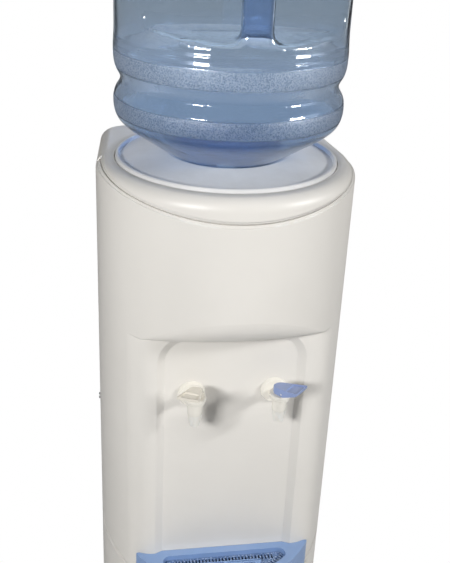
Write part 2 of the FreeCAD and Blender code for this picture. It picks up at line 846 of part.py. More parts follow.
def behind_tray(clearance):
    """Cheeks and back panel of the alcove, grown by the clearance."""
    low = tray_low_z - 2 * wall
    form = alcove_column(-clearance, low, tray_rim_z + wall)
    return form.cut(panel_recess(-clearance, low - 1.0))


tray = rounded_plan(0.0, tray_low_z, tray_rim_z, 1.5).cut(behind_tray(tray_clearance))
tray = tray.cut(rounded_plan(tray_rim, tray_low_z + tray_floor, tray_rim_z + 1, well_corner_r))
hollow = rounded_plan(tray_wall, tray_low_z - 1, tray_rim_z - tray_wall, 1.0)
hollow = hollow.cut(behind_tray(tray_clearance + tray_wall))
hollow = hollow.cut(rounded_plan(tray_rim - tray_wall, tray_low_z - 2, tray_rim_z, well_corner_r + tray_wall))
tray = tray.cut(hollow)
save("drip_tray", tray)

# drip grille with a raised middle, standing on posts
grille_inset = tray_rim + grille_clearance
grille = rounded_plan(grille_inset, grille_z - grille_thickness, grille_z, well_corner_r - grille_clearance)
platform = rounded_plan(tray_rim + platform_inset, grille_z, grille_z + platform_rise, 4.0)
grille = grille.fuse(platform)
tray_floor_z = tray_low_z + tray_floor
channel_inset = tray_rim + grille_clearance + (platform_inset - grille_clearance) / 2


def slot(center, along, length):
    """Round-ended slot cutter through the grille."""
    half = along * (length - slot_width) / 2
    across_slot = Vector(-along.y, along.x, 0) * slot_width / 2
    low = grille_z - 2 * grille_thickness
    height = 4 * grille_thickness + platform_rise
    corners = [center - half - across_slot, center + half - across_slot]
    corners += [center + half + across_slot, center - half + across_slot]
    body = polygon([Vector(c.x, c.y, low) for c in corners]).extrude(UP * height)
    for end in (center - half, center + half):
        body = body.fuse(Part.makeCylinder(slot_width / 2, height, Vector(end.x, end.y, low)))
    return body


back_slot_y = tray_back_y - channel_inset
back_slots = int(2 * back_slot_reach / slot_pitch)
slot_cutters = []
for index in range(back_slots + 1):
    x = (index - back_slots / 2) * slot_pitch
    slot_cutters.append(slot(Vector(x, back_slot_y, 0), Vector(0, 1, 0), slot_length))
arc_r = bow_r - channel_inset
arc_slots = int(2 * math.radians(arc_half_deg) * arc_r / slot_pitch)
for index in range(arc_slots + 1):
    angle = -arc_half_deg + index * 2 * arc_half_deg / arc_slots
    out = direction(angle)
    center = Vector(0, bow_y, 0) + out * arc_r
    slot_cutters.append(slot(center, out, slot_length))
grille = grille.cut(Part.makeCompound(slot_cutters))
for index in range(long_slots):
    y = tray_back_y - tray_rim - platform_inset - slot_pitch * (index + 0.5)
    radius = bow_r - tray_rim - platform_inset
    half = math.sqrt(radius ** 2 - (y - bow_y) ** 2) - 2 * slot_pitch
    for side in (-1, 1):
        middle = Vector(side * (half / 2 + slot_width / 2), y, 0)
        grille = grille.cut(slot(middle, RIGHTWARD, half - slot_width))
posts_at = [(-post_x, back_slot_y - 10.0), (post_x, back_slot_y - 10.0)]
posts_at.append((0.0, tray_front_y + channel_inset + 14.0))
for x, y in posts_at:
    post_top = Vector(x, y, grille_z - grille_thickness)
    post = cylinder(grille_post_r, Vector(x, y, tray_floor_z + 0.1), post_top)
    grille = grille.fuse(post)
save("drip_grille", grille)


# taps
def at_tap(shape, side, turn=0.0):
    """Turn a shape about the tap's upright axis and set it at the left or right tap."""
    placed = shape.copy()
    placed.rotate(ORIGIN, UP, turn)
    placed.translate(Vector(tap_middle_x + side * tap_x, tap_y, 0))
    return placed


def tap_body():
    """Valve chamber with its rim, shank, wall flange and hose barb."""
    wall_y = alcove_y - tap_y
    height = tap_body_high_z - tap_body_low_z
    chamber = Part.makeCone(tap_body_low_r, tap_body_r, height, Vector(0, 0, tap_body_low_z))
    rim = cylinder(bonnet_r - 2 * bonnet_step, Vector(0, 0, tap_body_high_z - tap_rim_height),
                   Vector(0, 0, tap_body_high_z))
    barb_start = wall_y + wall + tap_washer_thickness + 1.5 * tap_nut_height
    shank = cylinder(shank_r, Vector(0, 0, tap_z), Vector(0, barb_start, tap_z))
    flange = Part.makeCone(tap_flange_r, tap_flange_r - tap_flange_thickness / 2, tap_flange_thickness,
                           Vector(0, wall_y - 0.1, tap_z), Vector(0, -1, 0))
    barb = cylinder(barb_r, Vector(0, barb_start, tap_z), Vector(0, barb_start + barb_length, tap_z))
    solid = chamber.fuse(rim).fuse(shank).fuse(flange).fuse(barb)
    room = cylinder(tap_chamber_r, Vector(0, 0, tap_body_low_z + 2.0), Vector(0, 0, tap_body_high_z + 1))
    seat = cylinder(seat_hole_r, Vector(0, 0, tap_body_low_z - 1), Vector(0, 0, tap_body_low_z + 3))
    bore = cylinder(shank_bore_r, Vector(0, 0, tap_z + 1.0),
                    Vector(0, barb_start + barb_length + 1, tap_z + 1.0))
    return solid.cut(room).cut(seat).cut(bore)


def tap_spout():
    """Tapered spout in steps under the valve seat."""
    high = tap_body_low_z
    step = (high - spout_low_z) / spout_steps
    radii = [spout_top_r + (spout_tip_r - spout_top_r) * i / spout_steps for i in range(spout_steps + 1)]
    points = []
    for index in range(spout_steps):
        z = high - index * step
        points.append((radii[index], z))
        points.append((radii[index + 1] + 0.5, z - step))
    inner = [(spout_tip_r - spout_wall + 0.5, spout_low_z), (spout_top_r - spout_wall, high)]
    return revolved(points + inner)


def tap_bonnet():
    """Turning cap of the tap, with the boss that the lever's pin goes through."""
    low = tap_body_high_z + bonnet_gap
    bore = stem_r + stem_clearance
    waist = bonnet_r - bonnet_step
    points = [(bore, low), (waist - bonnet_step, low), (waist, low + bonnet_step)]
    points += [(waist, low + 3 * bonnet_step), (bonnet_r, low + 4 * bonnet_step)]
    points += [(bonnet_r, bonnet_top_z - bonnet_step), (waist, bonnet_top_z)]
    points += [(bore, bonnet_top_z)]
    cap = revolved(points)
    forward = -pivot_forward
    post = box(Vector(-pivot_boss_half, forward - pivot_boss_r, bonnet_top_z - 1.0),
               Vector(pivot_boss_half, forward + pivot_boss_r, pivot_z))
    knuckle = cylinder(pivot_boss_r, Vector(-pivot_boss_half, forward, pivot_z),
                       Vector(pivot_boss_half, forward, pivot_z))
    pin_hole = cylinder(pivot_r + pivot_clearance, Vector(-bonnet_r, forward, pivot_z),
                        Vector(bonnet_r, forward, pivot_z))
    return cap.fuse(post).fuse(knuckle).cut(pin_hole)


def lever_outline(inset):
    """Tall block on the fan outline of the lever: narrow round heel and wide straight tip."""
    low = pivot_z - lever_reach
    heel = lever_heel_half - inset
    tip = lever_tip_half - inset
    front = -(lever_reach - inset)
    heel_left = Vector(-heel, 0, low)
    heel_right = Vector(heel, 0, low)
    back = Vector(0, lever_heel - inset, low)
    tip_right = Vector(tip, front, low)
    tip_left = Vector(-tip, front, low)
    tip_middle = Vector(0, front - 0.8, low)
    edges = [arc(heel_right, back, heel_left), line(heel_left, tip_left)]
    edges += [arc(tip_left, tip_middle, tip_right), line(tip_right, heel_right)]
    return Part.Face(Part.Wire(edges)).extrude(UP * 2 * lever_reach)


def lever_top(y):
    """Height of the lever's top face, which climbs from the heel to the tip."""
    slope = (lever_tip_rise - lever_heel_rise) / (lever_heel + lever_reach)
    return pivot_z + lever_heel_rise + slope * (lever_heel - y)


def lever_profile(points):
    corners = [side_point(y, z) for y, z in points]
    return across([line(a, b) for a, b in zip(corners, corners[1:] + corners[:1])])


def tap_lever():
    """Lever: sloping plate with a dished tip and side walls that straddle the boss."""
    heel = lever_heel + 1.0
    tip = -lever_reach - 1.0
    low = pivot_z - pivot_boss_r + 0.1
    floor = pivot_z - lever_reach + 1.0
    high = pivot_z + lever_reach - 1.0
    side_wall = lever_profile([(heel, pivot_z + 1.0), (heel, lever_top(heel)), (tip, lever_top(tip)),
                               (tip, lever_top(tip) - lever_tip_height), (-9.0, low), (4.0, low)])
    hollow = lever_profile([(heel, floor), (heel, lever_top(heel) - lever_plate),
                            (tip, lever_top(tip) - lever_plate), (tip, floor)])
    dish = lever_profile([(-lever_dish_start, lever_top(-lever_dish_start)),
                          (-lever_dish_start - 1.5, lever_top(-lever_dish_start) - lever_dish_depth),
                          (tip, lever_top(tip) - lever_dish_depth), (tip, high), (-lever_dish_start, high)])
    lever = lever_outline(0.0).common(side_wall)
    lever = lever.cut(lever_outline(lever_wall).common(hollow))
    lever = lever.cut(lever_outline(lever_rim_width).common(dish))
    bar_half = lever_heel_half - lever_wall / 2
    bar = cylinder(lift_bar_r, Vector(-bar_half, 0, pivot_z - 0.2), Vector(bar_half, 0, pivot_z - 0.2))
    gap_low = Vector(-lift_bar_gap, -2 * lift_bar_r, floor)
    bar = bar.cut(box(gap_low, Vector(lift_bar_gap, 2 * lift_bar_r, high)))
    lever = lever.fuse(bar)
    return lever.cut(cylinder(pivot_r, Vector(-bonnet_r, -pivot_forward, pivot_z),
                              Vector(bonnet_r, -pivot_forward, pivot_z)))


def lever_pin():
    half = pivot_boss_half + 2.2
    return cylinder(pivot_r, Vector(-half, -pivot_forward, pivot_z), Vector(half, -pivot_forward, pivot_z))


seat_cup_z = tap_body_low_z + 2.0 + 0.1


def valve_stem():
    """Stem from the seat cup up through the bonnet to its head over the lever's lift bar."""
    head_z = pivot_z + stem_head_rise
    top = Vector(0, 0, head_z + stem_head_height)
    rod = cylinder(stem_r, Vector(0, 0, seat_cup_z + seat_cup_height - 2.0), top)
    return rod.fuse(cylinder(stem_head_r, Vector(0, 0, head_z), top))


def seat_cup():
    """Soft cup that closes the valve seat."""
    low = seat_cup_z
    high = seat_cup_z + seat_cup_height
    points = [(0, low), (seat_cup_r, low), (seat_cup_r, low + 2.5), (stem_r + 1.6, high), (stem_r, high)]
    points += [(stem_r, high - 2.0), (0, high - 2.0)]
    return revolved(points)


def valve_spring():
    """Return spring between the cup and the bonnet, drawn as its closed sleeve."""
    low = seat_cup_z + seat_cup_height + 0.1
    high = tap_body_high_z + bonnet_gap - 0.1
    return ring(valve_spring_r, valve_spring_r - valve_spring_wire, low, high)


def wall_ring(radius, bore, start, thickness):
    """Ring on the shank behind the alcove wall."""
    outer = cylinder(radius, Vector(0, start, tap_z), Vector(0, start + thickness, tap_z))
    return outer.cut(cylinder(bore, Vector(0, start - 1, tap_z), Vector(0, start + thickness + 1, tap_z)))


def tap_nut(start):
    """Hexagonal nut on the shank."""
    radius = tap_nut_af / math.sqrt(3)
    turns = [math.radians(60 * i) for i in range(6)]
    corners = [Vector(radius * math.cos(a), start, tap_z + radius * math.sin(a)) for a in turns]
    nut = polygon(corners).extrude(BACKWARD * tap_nut_height)
    return nut.cut(cylinder(shank_r + press_clearance, Vector(0, start - 1, tap_z),
                            Vector(0, start + tap_nut_height + 1, tap_z)))


inside_wall_y = alcove_y - tap_y + wall
nuts = []
washers = []
for name, side, lever_angle in (("left", -1, left_lever_angle), ("right", 1, right_lever_angle)):
    save(name + "_tap_body", at_tap(tap_body(), side))
    save(name + "_tap_spout", at_tap(tap_spout(), side))
    save(name + "_tap_bonnet", at_tap(tap_bonnet(), side, lever_angle))
    save(name + "_tap_lever", at_tap(tap_lever(), side, lever_angle))
    save(name + "_lever_pin", at_tap(lever_pin(), side, lever_angle))
    save(name + "_valve_stem", at_tap(valve_stem(), side))
    save(name + "_seat_cup", at_tap(seat_cup(), side))
    save(name + "_valve_spring", at_tap(valve_spring(), side))
    bore = shank_r + press_clearance
    washer = wall_ring(tap_washer_r, bore, inside_wall_y + 0.05, tap_washer_thickness - 0.1)
    washers.append(at_tap(washer, side))
    nuts.append(at_tap(tap_nut(inside_wall_y + tap_washer_thickness), side))
save("tap_washers", Part.makeCompound(washers))
save("tap_nuts", Part.makeCompound(nuts))

# water tank, open at the top, with two outlets in its floor
tank = Part.makeCylinder(tank_r, tank_top_z - tank_floor_z, Vector(0, 0, tank_floor_z))
tank = tank.fuse(ring(tank_flange_r, tank_r - tank_wall, tank_top_z - tank_wall, tank_top_z))
for side in (-1, 1):
    outlet = cylinder(outlet_r, Vector(side * outlet_x, outlet_y, tank_floor_z - outlet_length),
                      Vector(side * outlet_x, outlet_y, tank_floor_z + 1))
    tank = tank.fuse(outlet)
tank = tank.cut(Part.makeCylinder(tank_r - tank_wall, tank_top_z, Vector(0, 0, tank_floor_z + tank_wall)))
for side in (-1, 1):
    tank = tank.cut(cylinder(outlet_r - tank_wall, Vector(side * outlet_x, outlet_y, tank_floor_z - FAR / 4),
                             Vector(side * outlet_x, outlet_y, tank_floor_z + 2 * tank_wall)))
save("water_tank", tank)
seal_half = (tank_flange_r - skirt_ring_r) / 2 + guard_wall / 2
save("tank_seal", ring(skirt_ring_r + seal_half / 2, skirt_ring_r - seal_half / 2, tank_top_z, seal_top_z))

# baffle that keeps the cold water below, with the riser for the room-temperature tap
baffle = ring(tank_r - tank_wall - baffle_clearance, 12.0, baffle_z, baffle_z + baffle_thickness)
riser_x = -outlet_x
baffle = baffle.cut(cylinder(outlet_r + 0.3, Vector(riser_x, outlet_y, baffle_z - 1),
                             Vector(riser_x, outlet_y, baffle_z + baffle_thickness + 1)))
save("tank_baffle", baffle)
riser = cylinder(outlet_r, Vector(riser_x, outlet_y, tank_floor_z + tank_wall),
                 Vector(riser_x, outlet_y, baffle_z + baffle_thickness + 4.0))
riser = riser.cut(cylinder(outlet_r - tank_wall, Vector(riser_x, outlet_y, tank_floor_z),
                           Vector(riser_x, outlet_y, baffle_z + baffle_thickness + 5.0)))
save("riser_tube", riser)

# evaporator tube wound round the tank
coil_r = tank_r + evaporator_tube_r + 0.2
coil_z = tank_floor_z + 22.0
helix = Part.makeHelix(evaporator_pitch, evaporator_pitch * evaporator_turns, coil_r)
coil_start = Vector(coil_r, 0, 0)
coil_profile = Part.Wire(Part.makeCircle(evaporator_tube_r, coil_start, Vector(0, 1, 0)))
evaporator = Part.Wire(helix).makePipeShell([coil_profile], True, True)
evaporator.translate(UP * coil_z)
save("evaporator_coil", evaporator)

# foam jacket in two halves round the tank
foam_inner_r = tank_r + 2 * evaporator_tube_r + foam_inner_clearance
foam_top_z = tank_top_z - tank_wall - 0.2
foam = Part.makeCylinder(foam_outer_r, foam_top_z - foam_floor_z, Vector(0, 0, foam_floor_z))
foam = foam.cut(Part.makeCylinder(foam_inner_r, FAR, Vector(0, 0, tank_floor_z - 0.2)))
for side in (-1, 1):
    foam = foam.cut(cylinder(hose_r + 0.5, Vector(side * outlet_x, outlet_y, foam_floor_z - 1),
                             Vector(side * outlet_x, outlet_y, tank_floor_z)))
line_x = 62.0
line_y = 58.0
for side in (-1, 1):
    foam = foam.cut(cylinder(line_r + 1.0, Vector(side * line_x, line_y, foam_floor_z - 1),
                             Vector(side * line_x, line_y, coil_z + 4.0)))
save("foam_front", foam.common(in_front(-foam_joint_gap / 2)))
save("foam_rear", foam.common(behind(foam_joint_gap / 2)))

# hoses from the tank to the taps
barb_tip_y = alcove_y + wall + tap_washer_thickness + 1.5 * tap_nut_height
for name, side in (("left", -1), ("right", 1)):
    route = [Vector(side * outlet_x, outlet_y, tank_floor_z - 2.0)]
    route.append(Vector(side * outlet_x, outlet_y, hose_drop_z))
    hose_x = tap_middle_x + side * tap_x
    route += [Vector(hose_x, hose_front_y, tap_z), Vector(hose_x, barb_tip_y + 1.0, tap_z)]
    hose = swept(route, 12.0, hose_r)
    hose = hose.cut(swept(route, 12.0, barb_r + hose_fit))
    save(name + "_hose", hose)

# steel shelf under the foam jacket
shelf_inset = wall + 2 * lip_clearance + lip_thickness + alcove_y - cheek_y
shelf = alcove_column(shelf_inset, shelf_z, foam_floor_z)
shelf_skirt = alcove_column(shelf_inset, shelf_z - shelf_flange, shelf_z)
skirt_hollow = alcove_column(shelf_inset + shelf_thickness, shelf_z - shelf_flange - 1, shelf_z + 1)
shelf_skirt = shelf_skirt.cut(skirt_hollow)
shelf_skirt = shelf_skirt.common(behind(alcove_y + 2 * alcove_blend_r))
shelf = shelf.fuse(shelf_skirt)
rear_low = Vector(-shelf_screw_x - 10.0, back_y - shelf_inset - shelf_thickness, shelf_z - shelf_flange)
shelf_rear = box(rear_low, Vector(shelf_screw_x + 10.0, back_y - sheet - lip_clearance, shelf_z))
shelf = shelf.fuse(shelf_rear)
for side in (-1, 1):
    shelf = shelf.cut(cylinder(hose_r + 1.5, Vector(side * outlet_x, outlet_y, shelf_z - 1),
                               Vector(side * outlet_x, outlet_y, foam_floor_z + 1)))
    shelf = shelf.cut(cylinder(line_r + 1.5, Vector(side * line_x, line_y, shelf_z - 1),
                               Vector(side * line_x, line_y, foam_floor_z + 1)))
    shelf = shelf.cut(rear_hole(side * shelf_screw_x, shelf_z - shelf_flange / 2, screw_r + press_clearance))
save("tank_shelf", shelf)

# base plate with turned-up edge
plate_inset = wall + lip_clearance
base_plate = column(plate_inset, base_plate_z, base_plate_z + base_flange)
base_plate = base_plate.cut(column(plate_inset + base_plate_thickness, base_plate_z + base_plate_thickness,
                                   base_plate_z + base_flange + 1))
tab_low = Vector(-shelf_screw_x - 10.0, back_y - plate_inset - 0.5, base_plate_z + base_plate_thickness)
tab_high = Vector(shelf_screw_x + 10.0, back_y - sheet - lip_clearance, base_plate_z + base_flange)
plate_tab = box(tab_low, tab_high)
base_plate = base_plate.fuse(plate_tab)
plate_top_z = base_plate_z + base_plate_thickness
feet_at = [(side * foot_x, y) for side in (-1, 1) for y in (foot_front_y, foot_rear_y)]
mounts_at = [(side * mount_x, compressor_y + end * mount_y) for side in (-1, 1) for end in (-1, 1)]
for x, y in feet_at + mounts_at:
    base_plate = base_plate.cut(Part.makeCylinder(bolt_r + 0.2, 3 * base_plate_thickness,
                                                  Vector(x, y, base_plate_z - 1)))
for x, z in rear_screws[2:]:
    base_plate = base_plate.cut(rear_hole(x, z, screw_r + press_clearance))
save("base_plate", base_plate)

# feet and their screws
feet = []
foot_screws = []
for x, y in feet_at:
    foot = Part.makeCone(foot_r - foot_taper, foot_r, base_plate_z, Vector(x, y, 0))
    foot = foot.cut(Part.makeCylinder(bolt_r, base_plate_z, Vector(x, y, base_plate_z / 3)))
    feet.append(foot)
    screw = cylinder(bolt_r - 0.05, Vector(x, y, base_plate_z / 3 + 0.2), Vector(x, y, plate_top_z + 0.05))
    head_top = Vector(x, y, plate_top_z + bolt_head_height)
    head = cylinder(bolt_head_r, Vector(x, y, plate_top_z + 0.05), head_top)
    foot_screws.append(screw.fuse(head))
save("feet", Part.makeCompound(feet))
save("foot_screws", Part.makeCompound(foot_screws))

# compressor, its rubber mounts and bolts
compressor_top_z = compressor_low_z + compressor_height
waist_z = compressor_low_z + compressor_height * 0.55
low_dome = 18.0
profile = [(0, compressor_low_z), (compressor_r - low_dome, compressor_low_z)]
profile.append((compressor_r - 4, compressor_low_z + 8))
profile += [(compressor_r, compressor_low_z + low_dome), (compressor_r, waist_z - compressor_rim)]
profile.append((compressor_r + compressor_rim, waist_z - compressor_rim / 2))
profile.append((compressor_r + compressor_rim, waist_z))
profile += [(compressor_r - 1, waist_z + compressor_rim), (compressor_r - 3, compressor_top_z - 30)]
profile += [(compressor_r - 16, compressor_top_z - 9), (compressor_r - 34, compressor_top_z)]
profile.append((0, compressor_top_z))
compressor = revolved(profile, Vector(0, compressor_y, 0))
leg_z = plate_top_z + mount_height
for end in (-1, 1):
    leg_y = compressor_y + end * mount_y
    leg = box(Vector(-mount_x - leg_width / 2, leg_y - leg_width / 2, leg_z),
              Vector(mount_x + leg_width / 2, leg_y + leg_width / 2, leg_z + leg_thickness))
    hub_y = compressor_y + end * (mount_y - leg_width / 2)
    hub = box(Vector(-leg_width, hub_y - leg_width / 2, leg_z),
              Vector(leg_width, hub_y + leg_width / 2, compressor_low_z + low_dome))
    compressor = compressor.fuse(leg).fuse(hub)
for x, y in mounts_at:
    compressor = compressor.cut(Part.makeCylinder(bolt_r + 2.2, 3 * leg_thickness, Vector(x, y, leg_z - 1)))
save("compressor", compressor)
rubber_mounts = []
mount_bolts = []
for x, y in mounts_at:
    base = Vector(x, y, plate_top_z)
    rubber = Part.makeCylinder(mount_r, mount_height, base)
    rubber = rubber.fuse(Part.makeCylinder(bolt_r + 2.0, mount_height + leg_thickness + 1.0, base))
    rubber = rubber.cut(Part.makeCylinder(bolt_r + 0.05, 3 * mount_height, base))
    rubber_mounts.append(rubber)
    bolt_top = plate_top_z + mount_height + leg_thickness + 1.0
    bolt = cylinder(bolt_r, Vector(x, y, base_plate_z - 1.5), Vector(x, y, bolt_top))
    head = cylinder(bolt_head_r, Vector(x, y, bolt_top), Vector(x, y, bolt_top + bolt_head_height))
    mount_bolts.append(bolt.fuse(head))
save("compressor_mounts", Part.makeCompound(rubber_mounts))
save("mount_bolts", Part.makeCompound(mount_bolts))
relay_low = waist_z - relay_height - compressor_rim
relay = box(Vector(compressor_r - 10.0, compressor_y - relay_width / 2, relay_low),
            Vector(compressor_r + relay_depth, compressor_y + relay_width / 2, relay_low + relay_height))
relay_edges = [e for e in relay.Edges if e.BoundBox.XMin > compressor_r]
relay = relay.makeFillet(3.0, relay_edges)
relay = relay.cut(Part.makeCylinder(compressor_r + 0.1, FAR, Vector(0, compressor_y, 0)))
save("relay_cover", relay)

# condenser on the back: one tube in level passes, wires on both sides
run_x = pipe_x - pipe_bend_r
inside_y = back_y - 14.0
corner_r = condenser_y - back_y + 2.0


def condenser_path():
    """Tube from inside the cabinet, through the back, down the passes and in again."""
    entry = Vector(pipe_x, inside_y, condenser_high_z)
    path = [line(entry, Vector(pipe_x, condenser_y - corner_r, condenser_high_z))]
    bend = math.sqrt(0.5) * corner_r
    path.append(arc(Vector(pipe_x, condenser_y - corner_r, condenser_high_z),
                    Vector(pipe_x - corner_r + bend, condenser_y - corner_r + bend, condenser_high_z),
                    Vector(pipe_x - corner_r, condenser_y, condenser_high_z)))
    x = pipe_x - corner_r
    z = condenser_high_z
    heading = -1
    for index in range(condenser_passes - 1):
        end_x = heading * run_x
        path.append(line(Vector(x, condenser_y, z), Vector(end_x, condenser_y, z)))
        below = z - condenser_pitch
        path.append(arc(Vector(end_x, condenser_y, z),
                        Vector(end_x + heading * pipe_bend_r, condenser_y, z - pipe_bend_r),
                        Vector(end_x, condenser_y, below)))
        x = end_x
        z = below
        heading = -heading
    end_x = heading * (pipe_x - corner_r)
    path.append(line(Vector(x, condenser_y, z), Vector(end_x, condenser_y, z)))
    path.append(arc(Vector(end_x, condenser_y, z),
                    Vector(heading * (pipe_x - corner_r + bend), condenser_y - corner_r + bend, z),
                    Vector(heading * pipe_x, condenser_y - corner_r, z)))
    turned_in = Vector(heading * pipe_x, condenser_y - corner_r, z)
    path.append(line(turned_in, Vector(heading * pipe_x, inside_y, z)))
    return Part.Wire(path)


condenser_wire = condenser_path()
tube_start = Vector(pipe_x, inside_y, condenser_high_z)
tube_profile = Part.Wire(Part.makeCircle(condenser_tube_r, tube_start, BACKWARD))
save("condenser_tube", condenser_wire.makePipeShell([tube_profile], True, False))
wire_count = int(2 * run_x / wire_pitch) + 1
wire_offset = condenser_tube_r + condenser_wire_r + condenser_weld_gap
wires = []
for index in range(wire_count):
    x = (index - (wire_count - 1) / 2) * wire_pitch
    for face in (-1, 1):
        y = condenser_y + face * wire_offset
        wires.append(cylinder(condenser_wire_r, Vector(x, y, condenser_low_z - wire_overhang),
                              Vector(x, y, condenser_high_z + wire_overhang)))
save("condenser_wires", Part.makeCompound(wires))
brackets = []
bracket_low = condenser_low_z + 0.5 * condenser_pitch
bracket_high = condenser_high_z - 0.5 * condenser_pitch
for side in (-1, 1):
    for z in (bracket_low, bracket_high):
        x = side * (run_x + wire_pitch / 2)
        foot = box(Vector(x - bracket_width / 2, back_y, z - bracket_width),
                   Vector(x + bracket_width / 2, back_y + 1.5, z + bracket_width))
        arm = box(Vector(x - bracket_width / 2, back_y, z - 0.75),
                  Vector(x + bracket_width / 2, condenser_y + condenser_tube_r, z + 0.75))
        hook = box(Vector(x - bracket_width / 2, condenser_y + condenser_tube_r, z - 0.75),
                   Vector(x + bracket_width / 2, condenser_y + condenser_tube_r + 1.5, z + 0.75))
        brackets.append(foot.fuse(arm).fuse(hook))
save("condenser_brackets", Part.makeCompound(brackets))

# filter drier and refrigerant lines
drier_high_z = drier_low_z + drier_length
neck = 14.0
drier_points = [(0, drier_low_z), (line_r, drier_low_z), (drier_r, drier_low_z + neck)]
drier_points += [(drier_r, drier_high_z - neck), (line_r, drier_high_z), (0, drier_high_z)]
drier_at = exit_side * drier_x
save("filter_drier", revolved(drier_points, Vector(drier_at, drier_y, 0)))
route = [Vector(exit_side * pipe_x, inside_y - 0.2, condenser_low_z),
         Vector(exit_side * pipe_x, (inside_y + drier_y) / 2, condenser_low_z),
         Vector(drier_at, drier_y, drier_low_z - 22.0), Vector(drier_at, drier_y, drier_low_z - 0.2)]
save("liquid_line", swept(route, 8.0, condenser_tube_r))
route = [Vector(pipe_x, inside_y - 0.2, condenser_high_z), Vector(pipe_x, 112.0, condenser_high_z),
         Vector(112.0, 100.0, 240.0), Vector(40.0, compressor_y + 24.0, 225.0),
         Vector(40.0, compressor_y + 24.0, compressor_top_z - 8.0)]
discharge = swept(route, 10.0, condenser_tube_r)
save("discharge_line", discharge.cut(compressor))
coil_end_z = coil_z - evaporator_tube_r
route = [Vector(-line_x, line_y, coil_end_z), Vector(-line_x, line_y, 640.0), Vector(-64.0, 80.0, 300.0),
         Vector(-28.0, compressor_y + 20.0, 225.0)]
route.append(Vector(-28.0, compressor_y + 20.0, compressor_top_z - 8.0))
suction = swept(route, 14.0, line_r)
save("suction_line", suction.cut(compressor))
route = [Vector(drier_at, drier_y, drier_high_z + 0.2), Vector(drier_at, drier_y, 330.0),
         Vector(exit_side * line_x, line_y + 20.0, 560.0), Vector(line_x, line_y, 700.0),
         Vector(line_x, line_y, coil_end_z)]
save("capillary_line", swept(route, 12.0, capillary_r))

# thermostat inside the back and its knob outside
thermostat_back = back_y - sheet - 0.1
thermostat_half = thermostat_size / 2
thermostat = box(Vector(thermostat_x - thermostat_half, thermostat_back - thermostat_depth,
                        thermostat_z - thermostat_half),
                 Vector(thermostat_x + thermostat_half, thermostat_back, thermostat_z + thermostat_half))
shaft_bottom = Vector(thermostat_x, thermostat_back - 12.0, thermostat_z)
shaft_mouth = Vector(thermostat_x, thermostat_back + 1, thermostat_z)
thermostat = thermostat.cut(cylinder(knob_shaft_r + 0.05, shaft_bottom, shaft_mouth))
save("thermostat", thermostat)
knob = cylinder(knob_r, Vector(thermostat_x, back_y + 1.0, thermostat_z),
                Vector(thermostat_x, back_y + 1.0 + knob_height, thermostat_z))
knob = knob.fuse(cylinder(knob_shaft_r, Vector(thermostat_x, thermostat_back - 10.0, thermostat_z),
                          Vector(thermostat_x, back_y + 1.0, thermostat_z)))
for index in range(knob_notches):
    angle = 2 * math.pi * index / knob_notches
    notch_x = thermostat_x + (knob_r + 0.6) * math.cos(angle)
    notch_z = thermostat_z + (knob_r + 0.6) * math.sin(angle)
    knob = knob.cut(cylinder(knob_notch_r, Vector(notch_x, back_y + 3.0, notch_z),
                             Vector(notch_x, back_y + 2.0 + knob_height, notch_z)))
save("thermostat_knob", knob)

# strain relief bush of the supply cord
gland_face = Vector(gland_x, back_y, gland_z)
gland = cylinder(gland_r - 2.0, Vector(gland_x, back_y - sheet - 3.0, gland_z), gland_face)
gland = gland.fuse(cylinder(gland_r, gland_face, Vector(gland_x, back_y + 2.0, gland_z)))
gland = gland.fuse(cylinder(gland_r - 3.0, Vector(gland_x, back_y + 2.0, gland_z),
                            Vector(gland_x, back_y + 2.0 + gland_reach, gland_z)))
gland = gland.cut(cylinder(gland_bore_r, Vector(gland_x, back_y - FAR / 4, gland_z),
                           Vector(gland_x, back_y + FAR / 4, gland_z)))
save("cord_gland", gland)

# screws
screws = []
for screw_z in side_screw_z:
    screws.append(side_screw(screw_z))
    screws.append(mirrored(side_screw(screw_z)))
save("side_screws", Part.makeCompound(screws))
screws = []
for x, z in rear_screws:
    head = cylinder(screw_head_r, Vector(x, back_y, z), Vector(x, back_y + screw_head_height, z))
    shank = cylinder(screw_r, Vector(x, back_y - screw_length, z), Vector(x, back_y, z))
    screws.append(head.fuse(shank))
save("rear_screws", Part.makeCompound(screws))
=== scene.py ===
import bmesh
import bpy
import math
from mathutils import Matrix, Vector


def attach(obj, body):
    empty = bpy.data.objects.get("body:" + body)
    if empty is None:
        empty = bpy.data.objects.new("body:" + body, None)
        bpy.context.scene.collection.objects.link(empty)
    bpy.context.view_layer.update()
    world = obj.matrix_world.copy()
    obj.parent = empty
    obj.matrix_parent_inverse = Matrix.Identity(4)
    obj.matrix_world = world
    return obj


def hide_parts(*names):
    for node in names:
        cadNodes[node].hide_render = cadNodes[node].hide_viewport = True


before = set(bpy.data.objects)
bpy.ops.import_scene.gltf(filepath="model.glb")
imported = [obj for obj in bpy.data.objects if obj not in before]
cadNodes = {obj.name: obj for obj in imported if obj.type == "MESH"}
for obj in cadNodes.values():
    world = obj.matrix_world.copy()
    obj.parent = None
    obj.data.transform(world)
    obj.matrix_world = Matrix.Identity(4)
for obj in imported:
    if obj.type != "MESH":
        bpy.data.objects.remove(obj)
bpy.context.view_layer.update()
print("frame loaded with", len(cadNodes), "nodes")

# camera and room

photoView = {
    "place": (-0.1767, -1.0126, 1.2928),
    "tilt": (64.83, -2.40, -9.08),  # degrees about X, Y and Z
    "lens": 56.9,
    "farthest": 30.0,
}
cameraData = bpy.data.cameras.new("photoCamera")
cameraData.lens = photoView["lens"]
cameraData.clip_end = photoView["farthest"]
camera = bpy.data.objects.new("photoCamera", cameraData)
camera.location = photoView["place"]
camera.rotation_euler = [math.radians(angle) for angle in photoView["tilt"]]
bpy.context.scene.collection.objects.link(camera)
bpy.context.scene.camera = camera
bpy.context.scene.view_settings.view_transform = "Standard"


